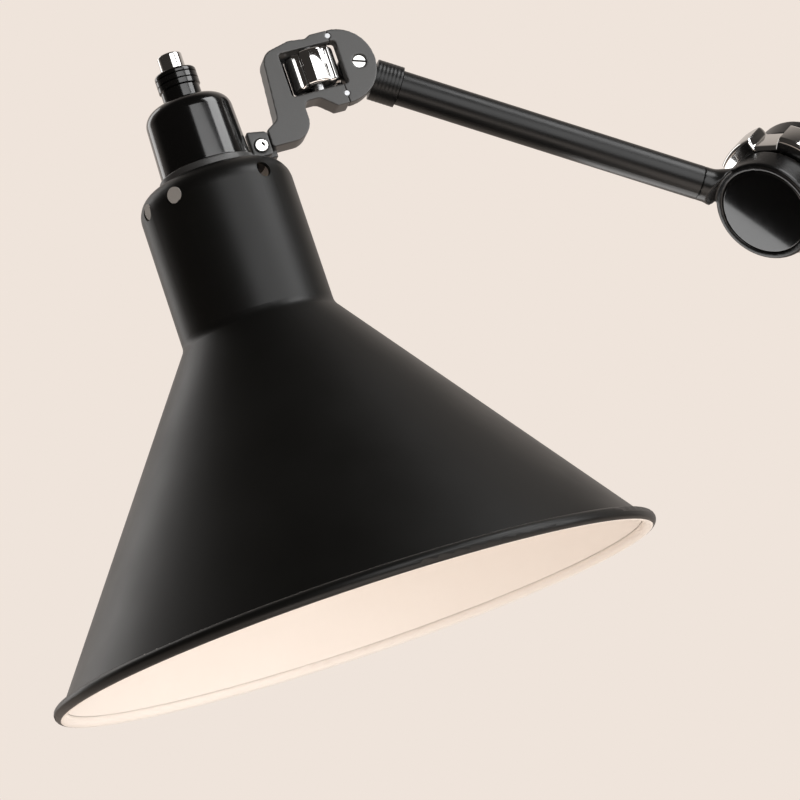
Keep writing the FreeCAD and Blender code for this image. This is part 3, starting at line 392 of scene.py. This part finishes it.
chrome = metal("polished_chrome_plate", "#E9E8E6", low=0.03, high=0.09, size_mm=12)
steel = metal(
    "turned_zinc_plated_steel",
    "#B9BABC",
    low=0.22,
    high=0.36,
    size_mm=0.6,
    stretch=6,
    bump_mm=0.004,
)
brass = metal(
    "pressed_brass",
    "#D1AA63",
    low=0.2,
    high=0.34,
    size_mm=0.8,
    stretch=4,
    bump_mm=0.004,
)
print("made", chrome.name, steel.name, brass.name)

# %% [markdown]
# ## Shade lining
# The inside of the shade is sprayed with a warm white matt enamel that scatters the light. Its
# spray leaves a peel about a millimetre wide and a slow haze in its tone.

# %% Lining
PEEL_MM = 1.1
HAZE_MM = 40


def white_lining():
    material, tree, place = new_material("warm_white_enamel_lining")
    peel = add(tree, "TexNoise", {"Scale": grain(PEEL_MM), "Detail": 2}, {"Vector": place})
    haze = add(tree, "TexNoise", {"Scale": grain(HAZE_MM), "Detail": 2}, {"Vector": place})
    bump = add(
        tree,
        "Bump",
        {"Strength": 0.25, "Distance": 0.01 * MM},
        {"Height": peel.outputs["Fac"]},
    )
    tone = add(
        tree,
        "Mix",
        {6: colour("#F6F0EA"), 7: colour("#FAF6F1")},
        {0: haze.outputs["Fac"]},
        data_type="RGBA",
    )
    shader = add(
        tree,
        "BsdfPrincipled",
        {"IOR": PAINT_IOR, "Roughness": 0.55},
        {"Base Color": tone.outputs[2], "Normal": bump.outputs[0]},
    )
    close(tree, shader)
    return material


lining = white_lining()
print("made", lining.name)

# %% [markdown]
# ## Insulator and bulb
# The insulator is moulded in a cream plastic with faint darker specks, and the bulb is opal glass:
# white glass that passes and scatters light, under a smooth skin.

# %% Insulator and opal glass
SPECK_MM = 1.5
GLASS_SWIRL_MM = 15


def cream_insulator():
    material, tree, place = new_material("cream_moulded_insulator")
    specks = add(tree, "TexVoronoi", {"Scale": grain(SPECK_MM)}, {"Vector": place})
    clear = add(
        tree,
        "MapRange",
        {"From Min": 0.05, "From Max": 0.2, "To Min": 0.0, "To Max": 1.0},
        {"Value": specks.outputs["Distance"]},
    )
    tone = add(
        tree,
        "Mix",
        {6: colour("#CFC7B8"), 7: colour("#E5DFD2")},
        {0: clear.outputs[0]},
        data_type="RGBA",
    )
    shader = add(
        tree,
        "BsdfPrincipled",
        {"IOR": PAINT_IOR, "Roughness": 0.35},
        {"Base Color": tone.outputs[2]},
    )
    close(tree, shader)
    return material


def opal_glass():
    material, tree, place = new_material("blown_opal_glass")
    swirl = add(tree, "TexNoise", {"Scale": grain(GLASS_SWIRL_MM), "Detail": 2}, {"Vector": place})
    tone = add(
        tree,
        "Mix",
        {6: colour("#F1EEE8"), 7: colour("#FBF9F5")},
        {0: swirl.outputs["Fac"]},
        data_type="RGBA",
    )
    shader = add(
        tree,
        "BsdfPrincipled",
        {"IOR": 1.52, "Roughness": 0.12, "Transmission Weight": 0.25},
        {"Base Color": tone.outputs[2]},
    )
    close(tree, shader)
    return material


insulator_cream = cream_insulator()
bulb_opal = opal_glass()
print("made", insulator_cream.name, bulb_opal.name)

# %% [markdown]
# ## Finishes on the CAD nodes
# A node that already has the right shape keeps its mesh and takes its finish in its material
# slots. The table below follows the record's slots, with a few nodes set apart.

# %% Which node has which finish
FINISHES = {
    "black_satin": arm_black,
    "black_gloss": holder_gloss,
    "shade_paint": shade_black,
    "bracket_cast": bracket_grey,
    "chrome": chrome,
    "steel": steel,
    "brass": brass,
    "insulator": insulator_cream,
    "opal_glass": bulb_opal,
}
SET_APART = {
    "elbow_cap_front": cap_gloss,
    "elbow_cap_back": cap_gloss,
    "shoulder_cap_front": cap_gloss,
    "shoulder_cap_back": cap_gloss,
    "wall_post": casting_black,
}
slot_names = {row["node"]: row["material_slot"] for row in frame["record"]["subparts"]}

for name, thing in nodes.items():
    thing.data.materials.clear()
    thing.data.materials.append(SET_APART.get(name, FINISHES[slot_names[name]]))
print(len(nodes), "nodes have a finish")

# %% [markdown]
# ## The shade's white inside
# The shade is one sheet, black outside and white inside, and the white runs round the inner half
# of the rolled rim. A face takes the lining if it looks towards the shade's own axis. On the rim
# it may look outwards a little too, so that the white ends on the bead's lower side.

# %% Line the shade
BEAD_MM = 5
WALL_FACING = -0.2
BEAD_FACING = 0.25


def line_shade():
    shade = nodes["shade"]
    shade.data.materials.append(lining)
    back = shade_place.inverted()
    turn = back.to_3x3()
    bead_top = min((back @ v.co).z for v in shade.data.vertices) + BEAD_MM * MM
    lined = 0
    for face in shade.data.polygons:
        centre = back @ face.center
        outward = Vector((centre.x, centre.y, 0)).normalized()
        facing = (turn @ face.normal).dot(outward)
        if facing < (BEAD_FACING if centre.z < bead_top else WALL_FACING):
            face.material_index = 1
            lined += 1
    return lined


print(line_shade(), "faces of the shade are white")

# %% [markdown]
# ## Pieces and how they are kept
# A new piece is shaped in the local frame of the joint that it belongs to, then moved into the
# lamp's frame in its mesh, so that its object stays at the origin. It rides on a CAD body and
# hides the node it stands for. A turned piece is drawn as half a section and spun about Z.

# %% Keep a piece
MERGE_MM = 0.002


def keep(shape, name, place, finish, *replaced, body=None, slot=None):
    """Turns a bmesh made in a local frame into a piece that replaces nodes or rides on a body."""
    bmesh.ops.remove_doubles(shape, verts=shape.verts, dist=MERGE_MM * MM)
    bmesh.ops.recalc_face_normals(shape, faces=shape.faces)
    bmesh.ops.transform(shape, matrix=place, verts=shape.verts)
    mesh = bpy.data.meshes.new(name)
    shape.to_mesh(mesh)
    shape.free()
    mesh.materials.append(finish)
    piece = bpy.data.objects.new(name, mesh)
    bpy.context.scene.collection.objects.link(piece)
    if replaced:
        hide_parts(*replaced)
        body = nodes[replaced[0]]["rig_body"]
    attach(piece, body)
    print(name, len(mesh.polygons), "faces")
    return piece


def spun(profile, steps):
    """A bmesh of (radius, height) points joined in turn and spun about Z."""
    shape = bmesh.new()
    points = [shape.verts.new((radius, 0, height)) for radius, height in profile]
    edges = [shape.edges.new(pair) for pair in zip(points, points[1:])]
    bmesh.ops.spin(
        shape,
        geom=points + edges,
        axis=(0, 0, 1),
        cent=(0, 0, 0),
        angle=2 * math.pi,
        steps=steps,
        use_merge=True,
    )
    return shape


def shade_by_angle(piece, degrees=35):
    """Smooth faces, with an edge left crisp where it is sharper than the angle."""
    mesh = piece.data
    mesh.polygons.foreach_set("use_smooth", [True] * len(mesh.polygons))
    mesh.set_sharp_from_angle(angle=math.radians(degrees))


# %% [markdown]
# ## Castings with soft edges
# A casting leaves its mould with every edge a little round, and paint rounds it more. The CAD
# nodes have knife edges. Bevelling a triangulated mesh would fail on its slivers, so a merged copy
# is turned into fine voxels in its own frame and relaxed a few times, which rounds all its edges
# by about half a millimetre and leaves its flats flat. The head's small castings take a finer
# voxel and fewer rounds than the large eyes of the elbow and the shoulder.

# %% Soften a casting
HEAD_CASTING = {"rounds": 4, "voxel_mm": 0.32}
EYE_CASTING = {"rounds": 6, "voxel_mm": 0.42}
RELAX_SHARE = 0.5
KEPT_SHARE = 0.5


def soften(name, node, place, finish, rounds, voxel_mm):
    shape = bmesh.new()
    shape.from_mesh(nodes[node].data)
    bmesh.ops.remove_doubles(shape, verts=shape.verts, dist=MERGE_MM * MM)
    bmesh.ops.transform(shape, matrix=place.inverted(), verts=shape.verts)
    mesh = bpy.data.meshes.new(name)
    shape.to_mesh(mesh)
    shape.free()
    rough = bpy.data.objects.new(name + "_rough", mesh)
    bpy.context.scene.collection.objects.link(rough)
    remesh = rough.modifiers.new("voxels", "REMESH")
    remesh.mode, remesh.voxel_size = "VOXEL", voxel_mm * MM
    relax = rough.modifiers.new("relax", "SMOOTH")
    relax.factor, relax.iterations = RELAX_SHARE, rounds
    thin = rough.modifiers.new("thin", "DECIMATE")
    thin.ratio = KEPT_SHARE
    depsgraph = bpy.context.evaluated_depsgraph_get()
    done = bpy.data.meshes.new_from_object(rough.evaluated_get(depsgraph))
    bpy.data.objects.remove(rough)
    soft = bmesh.new()
    soft.from_mesh(done)
    piece = keep(soft, name, place, finish, node)
    piece.data.polygons.foreach_set("use_smooth", [True] * len(piece.data.polygons))


soften("bracket_casting", "head_bracket", head_place, bracket_grey, **HEAD_CASTING)
soften("bracket_end_casting", "bracket_end", head_place, bracket_grey, **HEAD_CASTING)
soften("lug_casting", "holder_flange", shade_place, bracket_grey, **HEAD_CASTING)
soften("elbow_front_casting", "elbow_front_eye", elbow_place, casting_black, **EYE_CASTING)
soften("elbow_rear_casting", "elbow_rear_eye", elbow_place, casting_black, **EYE_CASTING)
soften("shoulder_front_casting", "shoulder_eye", shoulder_place, casting_black, **EYE_CASTING)
soften("shoulder_rear_casting", "base_knuckle", shoulder_place, casting_black, **EYE_CASTING)

# %% [markdown]
# ## Fluted wheels
# A hand wheel is turned from bar, and then flutes for the fingers are milled into its rim. Every
# edge is rounded before it is plated, so each lobe carries a long bright reflection. The wheel is
# made in that order here: half a section with quarter-round corners is spun, and the points of its
# rim are pulled in where a flute passes. Both faces' corners follow, where a bevel would leave
# spikes. The places of the flutes are read from the CAD wheel.

# %% Two kinds of flute
WHEEL_CORNER_MM = 1.2
THUMB_CORNER_MM = 0.3
FLUTE_SLOPE = 4
LEAST_COSINE = 0.5


def smooth_least(a, b, reach):
    """The smaller of two lengths, with the corner between them rounded over reach."""
    share = min(max(0.5 + 0.5 * (b - a) / reach, 0), 1)
    return b + (a - b) * share - reach * share * (1 - share)


def wide_flute(outer, floor, half):
    """A flute with a flat floor and steep sides, as a radius at an angle from its middle."""

    def radius(aside):
        side = max(outer * math.sin(aside) - half, 0) * FLUTE_SLOPE
        climb = floor / max(math.cos(aside), LEAST_COSINE) + side
        return smooth_least(climb, outer, WHEEL_CORNER_MM * MM)

    return radius


def round_flute(outer, floor, tool):
    """A flute that a round tool leaves, as a radius at an angle from its middle."""
    centre = floor + tool

    def radius(aside):
        inside = tool**2 - (centre * math.sin(aside)) ** 2
        if inside <= 0:
            return outer
        cut = centre * math.cos(aside) - math.sqrt(inside)
        return smooth_least(cut, outer, THUMB_CORNER_MM * MM)

    return radius


# %% Spin and flute a wheel
RIM_POINTS = 480
ROUND_STEPS = 6
LOBES = 5
FLOOR_BAND_MM = 0.4


def first_flute(node, place, floor):
    """The angle of one flute, from the CAD wheel's points that lie on the flutes' floors."""
    band = FLOOR_BAND_MM * MM
    spots = [p for p in local_points(node, place) if abs(p.xy.length - floor) < band]
    x = sum(math.cos(LOBES * math.atan2(p.y, p.x)) for p in spots)
    y = sum(math.sin(LOBES * math.atan2(p.y, p.x)) for p in spots)
    return math.atan2(y, x) / LOBES


def fluted_wheel(name, node, place, flute, depth_mm, width_mm, round_mm, bore_mm):
    low, high, outer = turned_size(node, place)
    bore, edge = bore_mm * MM, round_mm * MM
    floor = outer - depth_mm * MM
    leans = [math.pi / 2 * i / ROUND_STEPS for i in range(ROUND_STEPS + 1)]
    arc = [(edge * (1 - math.sin(lean)), edge * (1 - math.cos(lean))) for lean in leans]
    profile = [(bore, low)]
    profile += [(outer - inset, low + rise) for inset, rise in arc]
    profile += [(outer - inset, high - rise) for inset, rise in reversed(arc)]
    profile += [(bore, high)]
    shape = spun(profile, RIM_POINTS)
    rim = flute(outer, floor, width_mm * MM)
    start = first_flute(node, place, floor)
    step = 2 * math.pi / LOBES
    for vertex in shape.verts:
        radius = vertex.co.xy.length
        if radius > (bore + outer) / 2:
            turn = math.atan2(vertex.co.y, vertex.co.x) - start
            aside = abs((turn + step / 2) % step - step / 2)
            vertex.co.xy *= (radius - outer + rim(aside)) / radius
    shade_by_angle(keep(shape, name, place, chrome, node), degrees=50)


HAND_WHEEL = {"flute": wide_flute, "depth_mm": 3.8, "width_mm": 5.4, "round_mm": 1.8, "bore_mm": 4}
THUMB_WHEEL = {
    "flute": round_flute,
    "depth_mm": 1.2,
    "width_mm": 1.9,
    "round_mm": 1.2,
    "bore_mm": 2,
}
fluted_wheel("elbow_hand_wheel", "elbow_wheel", elbow_place, **HAND_WHEEL)
fluted_wheel("shoulder_hand_wheel", "shoulder_wheel", shoulder_place, **HAND_WHEEL)
fluted_wheel("window_hand_wheel", "thumb_wheel", thumb_place, **THUMB_WHEEL)

# %% [markdown]
# ## The window's plate of painted shade
# Behind its wheel the bracket's window is closed by a black plate with a slot for the wheel. The
# plate is painted shade: it stands for the deep shadow inside the window, round the wheel. A grid
# of one face is set to the window's size, inset, opened in the middle and given its thickness. It
# is drawn flat and then stood up in the wheel's frame, whose X looks out of the window. Its
# measures are in mm from the wheel's centre.

# %% Window plate
WINDOW_LEFT, WINDOW_RIGHT, WINDOW_HALF = 10.9, 9.9, 8.0
SLOT_SIDE, SLOT_HALF = 8.1, 6.8
PLATE_BACK, PLATE_THICK = 4.7, 1.0
STOOD_UP = Matrix(((0, 0, 1, 0), (1, 0, 0, 0), (0, 1, 0, 0), (0, 0, 0, 1)))


def spread_corners(vertices, left, right, half):
    """Moves the corners of a rectangle about the middle out to these distances in mm."""
    for vertex in vertices:
        vertex.co.x = (right if vertex.co.x > 0 else -left) * MM
        vertex.co.y = (half if vertex.co.y > 0 else -half) * MM


def window_shade_plate():
    shape = bmesh.new()
    sheet = bmesh.ops.create_grid(shape, x_segments=1, y_segments=1, size=WINDOW_HALF * MM)
    spread_corners(sheet["verts"], WINDOW_LEFT, WINDOW_RIGHT, WINDOW_HALF)
    slot = shape.faces[:][0]
    bmesh.ops.inset_region(shape, faces=[slot], thickness=MM, use_boundary=True)
    spread_corners(slot.verts, SLOT_SIDE, SLOT_SIDE, SLOT_HALF)
    bmesh.ops.delete(shape, geom=[slot], context="FACES")
    grown = bmesh.ops.extrude_face_region(shape, geom=shape.faces[:])["geom"]
    front = [part for part in grown if isinstance(part, bmesh.types.BMVert)]
    bmesh.ops.translate(shape, verts=front, vec=(0, 0, PLATE_THICK * MM))
    bmesh.ops.translate(shape, verts=shape.verts, vec=(0, 0, -PLATE_BACK * MM))
    place = thumb_place @ STOOD_UP
    # The black plate is painted shade: it darkens the window round the wheel.
    keep(shape, "window_shade_plate", place, casting_black, body="lamp_head", slot="black_satin")


window_shade_plate()

# %% [markdown]
# ## Finely ribbed collars
# Each arm ends in a collar turned with fine ribs for grip. They are so shallow that under paint
# they show only as faint rings, so the section's outer line is a wave of a twentieth of a
# millimetre, between two plain shoulders.

# %% Collars
RIB_DEPTH_MM = 0.05
RIBS = 7
RIB_STEPS = 12
COLLAR_STEPS = 96
SHOULDER_SHARE = 0.03


def collar_place(node, joint):
    """A collar's own frame: its box's centre, with Z along the joint's axis."""
    return axes_frame(box_centre(node), joint_axis(joint), (0, 1, 0))


def fine_collar(name, node, place):
    low, high, outer = turned_size(node, place)
    bore = min(p.xy.length for p in local_points(node, place))
    ribbed = (high - low) * (1 - 2 * SHOULDER_SHARE)
    start = low + (high - low) * SHOULDER_SHARE
    profile = [(bore, low)]
    for i in range(RIBS * RIB_STEPS + 1):
        share = i / (RIBS * RIB_STEPS)
        dip = RIB_DEPTH_MM * MM * (0.5 + 0.5 * math.cos(2 * math.pi * share * RIBS))
        profile.append((outer - dip, start + ribbed * share))
    profile.append((bore, high))
    collar = keep(spun(profile, COLLAR_STEPS), name, place, arm_black, node)
    shade_by_angle(collar, degrees=40)


fine_collar("head_ribbed_collar", "head_collar", collar_place("head_collar", "head_roll"))
fine_collar("lower_ribbed_collar", "lower_collar", collar_place("lower_collar", "lower_arm_roll"))

# %% [markdown]
# ## Painted light in the front vents
# Two pairs of the neck's front vents hold small grey discs of painted light: their grey stands for
# the lit lining seen through the holes. The third pair is left open. Each disc is a short cylinder
# laid on its side just inside the wall. The measures are in mm, and the turns are degrees about the
# shade's axis.

# %% Vent discs of painted light
NECK_RADIUS = 26.8
VENT_DROP = 7.6
DISC_RADIUS = 2.75
DISC_SUNK = 0.25
DISC_THICK = 0.5
DISC_SIDES = 40
LIT_DISC_TURNS = (-75, -43, 105, 137)
ON_ITS_SIDE = Matrix.Rotation(math.pi / 2, 4, "Y")


def vent_light_discs():
    top = max(p.z for p in local_points("shade", shade_place))
    out = (NECK_RADIUS - DISC_SUNK - DISC_THICK / 2) * MM
    spot = Matrix.Translation((out, 0, top - VENT_DROP * MM))
    shape = bmesh.new()
    for degrees in LIT_DISC_TURNS:
        disc = bmesh.ops.create_cone(
            shape,
            cap_ends=True,
            segments=DISC_SIDES,
            radius1=DISC_RADIUS * MM,
            radius2=DISC_RADIUS * MM,
            depth=DISC_THICK * MM,
        )["verts"]
        turn = Matrix.Rotation(math.radians(degrees), 4, "Z")
        bmesh.ops.transform(shape, matrix=turn @ spot @ ON_ITS_SIDE, verts=disc)
    # Painted light: the discs' grey stands for the lit lining seen through the vents.
    grey = powder_coat(
        "painted_vent_light",
        "#8C8A87",
        roughness=0.5,
        peel_mm=0.6,
        peel_depth_mm=0.01,
        level=0.5,
    )
    light_discs = keep(shape, "vent_light_discs", shade_place, grey, body="lamp_head", slot="steel")
    shade_by_angle(light_discs)


vent_light_discs()

# %% [markdown]
# ## The switch's spring
# The push button stands on a small coil spring inside the switch. The button slides down 2 mm.
# A copy of the CAD's coil takes its place, with a mesh of its own.


def follow_button():
    shape = bmesh.new()
    shape.from_mesh(nodes["button_spring"].data)
    bmesh.ops.transform(shape, matrix=shade_place.inverted(), verts=shape.verts)
    spring = keep(shape, "button_coil_spring", shade_place, steel, "button_spring")
    shade_by_angle(spring)
    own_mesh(spring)


follow_button()

# %% [markdown]
# ## World
# A photographer would hang the lamp before a pale wall. The world is that wall: pale to the camera,
# and in mirrors and gloss pale behind the lamp and dim in front of it, which keeps the black paint
# dark in the middle and light along its edges. It lights matt surfaces at less than half strength.

# %% World
PALE = "#EFE4DB"
WALL_STRENGTH = 1.0
MATT_STRENGTH = 0.42
DIM_FRONT, PALE_BACK = 0.04, 0.7


def make_world():
    world = bpy.data.worlds.new("studio")
    bpy.context.scene.world = world
    world.use_nodes = True
    tree = world.node_tree
    tree.nodes.clear()
    direction = add(tree, "TexCoord").outputs["Generated"]
    parts = add(tree, "SeparateXYZ", links={0: direction})
    behind = add(
        tree,
        "MapRange",
        {"From Min": 0.05, "From Max": 0.9, "To Min": DIM_FRONT, "To Max": PALE_BACK},
        {"Value": parts.outputs["Y"]},
        interpolation_type="SMOOTHSTEP",
    )
    rays = add(tree, "LightPath")
    mirrored = add(
        tree,
        "Math",
        links={0: rays.outputs["Is Glossy Ray"], 1: rays.outputs["Is Transmission Ray"]},
        operation="MAXIMUM",
    )
    # a Mix node for numbers takes its share on socket 0 and its two numbers on sockets 2 and 3
    unseen = add(
        tree,
        "Mix",
        {2: MATT_STRENGTH},
        {0: mirrored.outputs[0], 3: behind.outputs[0]},
    )
    strength = add(
        tree,
        "Mix",
        {3: WALL_STRENGTH},
        {0: rays.outputs["Is Camera Ray"], 2: unseen.outputs[0]},
    )
    light = add(
        tree,
        "Background",
        {"Color": colour(PALE)},
        {"Strength": strength.outputs[0]},
    )
    add(tree, "OutputWorld", links={"Surface": light.outputs[0]})
    print("world made")


make_world()

# %% [markdown]
# ## Lights
# A narrow soft box on each side lights up the black paint along its edges. A wide key card in
# front and above is the main light, a box overhead is aimed at the elbow's wheel, and a warm fill
# comes from below. Each is placed from the shade's centre, in metres.

# %% Soft boxes
head_spot = box_centre("shade")


def area_light(name, width, height, watts, code="#FFFFFF"):
    data = bpy.data.lights.new(name, "AREA")
    data.shape = "RECTANGLE"
    data.size, data.size_y = width, height
    data.energy = watts
    data.color = colour(code)[:3]
    lamp = bpy.data.objects.new(name, data)
    bpy.context.scene.collection.objects.link(lamp)
    lamp.visible_camera = False
    return lamp


def soft_box(lamp, away, target):
    """Hangs a light this far from the shade's centre and aims it at target."""
    at = head_spot + Vector(away)
    lamp.location = at
    lamp.rotation_euler = (target - at).to_track_quat("-Z", "Y").to_euler()
    print(lamp.name, "at", [round(v, 2) for v in at])


soft_box(area_light("soft_box_left", 0.3, 1.0, watts=1.5), (-0.8, 0.7, 0.2), head_spot)
soft_box(area_light("soft_box_right", 0.35, 1.0, watts=6), (1.2, -0.2, 0.3), head_spot)
soft_box(area_light("key_card", 1.5, 0.9, watts=11), (0.68, -0.92, 0.53), head_spot)
soft_box(
    area_light("soft_box_top", 0.5, 0.5, watts=4),
    (0.6, -0.1, 0.9),
    box_centre("elbow_wheel"),
)
soft_box(
    area_light("fill_from_below", 0.8, 0.8, watts=2.2, code="#FFF4EC"),
    (0.15, -0.3, -0.5),
    head_spot,
)

# %% [markdown]
# ## A card under the elbow
# In the photograph a diagonal line crosses the elbow's black cap: the edge of something pale, seen
# in its polish. The cap mirrors what lies down to its left, so a small card is hung there, with
# its edge just off the middle. Two directions place it: the way the cap mirrors the camera's line
# of sight, and the way the card hangs across that line.

# %% Elbow card
CAP_MIRRORS = Vector((-0.664, -0.109, -0.738))
CARD_HANGS = Vector((0.041, 0.982, -0.185))
CARD_AWAY, CARD_PAST_MIDDLE = 0.07, 0.005
CARD_WIDTH, CARD_HEIGHT = 0.08, 0.06


def elbow_card():
    side = CARD_HANGS.cross(-CAP_MIRRORS)
    hang = CARD_HANGS * (CARD_HEIGHT / 2 + CARD_PAST_MIDDLE)
    spot = box_centre("elbow_cap_front") + CAP_MIRRORS * CARD_AWAY + hang
    turn = Matrix((side, CARD_HANGS, CAP_MIRRORS)).transposed().to_4x4()
    card = area_light("elbow_card", CARD_WIDTH, CARD_HEIGHT, watts=0.05)
    card.matrix_world = Matrix.Translation(spot) @ turn
    print("elbow card at", [round(v, 3) for v in spot])


elbow_card()

# %% [markdown]
# ## Floor
# The floor is a plain pale sheet below the lamp, wide enough to carry its shadow and low enough to
# stay out of the photograph's view.

# %% Floor
FLOOR_Z = -0.42
FLOOR_HALF = 1.6


def make_floor():
    shape = bmesh.new()
    bmesh.ops.create_grid(shape, x_segments=1, y_segments=1, size=FLOOR_HALF)
    bmesh.ops.translate(shape, verts=shape.verts, vec=(head_spot.x, 0, FLOOR_Z))
    mesh = bpy.data.meshes.new("floor")
    shape.to_mesh(mesh)
    shape.free()
    floor = bpy.data.objects.new("floor", mesh)
    bpy.context.scene.collection.objects.link(floor)
    material, tree, _ = new_material("pale_floor")
    shader = add(
        tree,
        "BsdfPrincipled",
        {"Base Color": colour(PALE), "Roughness": 0.8, "Specular IOR Level": 0.2},
    )
    close(tree, shader)
    mesh.materials.append(material)


make_floor()
print("floor at", FLOOR_Z)

# %% [markdown]
# ## Camera
# The photograph was taken level, with a long lens, about a metre from the lamp. The camera's place
# is given in mm from the point on the shade's axis at the foot of the lampholder's flange.

# %% Camera
LENS = 135
SENSOR = 36
FLANGE_FROM_CAMERA = Vector((-64.3, 1020, 75.3)) * MM


def make_camera(target):
    data = bpy.data.cameras.new("camera")
    data.lens, data.sensor_width = LENS, SENSOR
    camera = bpy.data.objects.new("camera", data)
    bpy.context.scene.collection.objects.link(camera)
    camera.location = target - FLANGE_FROM_CAMERA
    camera.rotation_euler = (math.radians(90), 0, 0)
    bpy.context.scene.camera = camera
    print("camera at", [round(v, 4) for v in camera.location])


flange_foot = turned_size("holder_flange", shade_place)[0]
make_camera(shade_place @ Vector((0, 0, flange_foot)))
bpy.context.scene.view_settings.view_transform = "Standard"
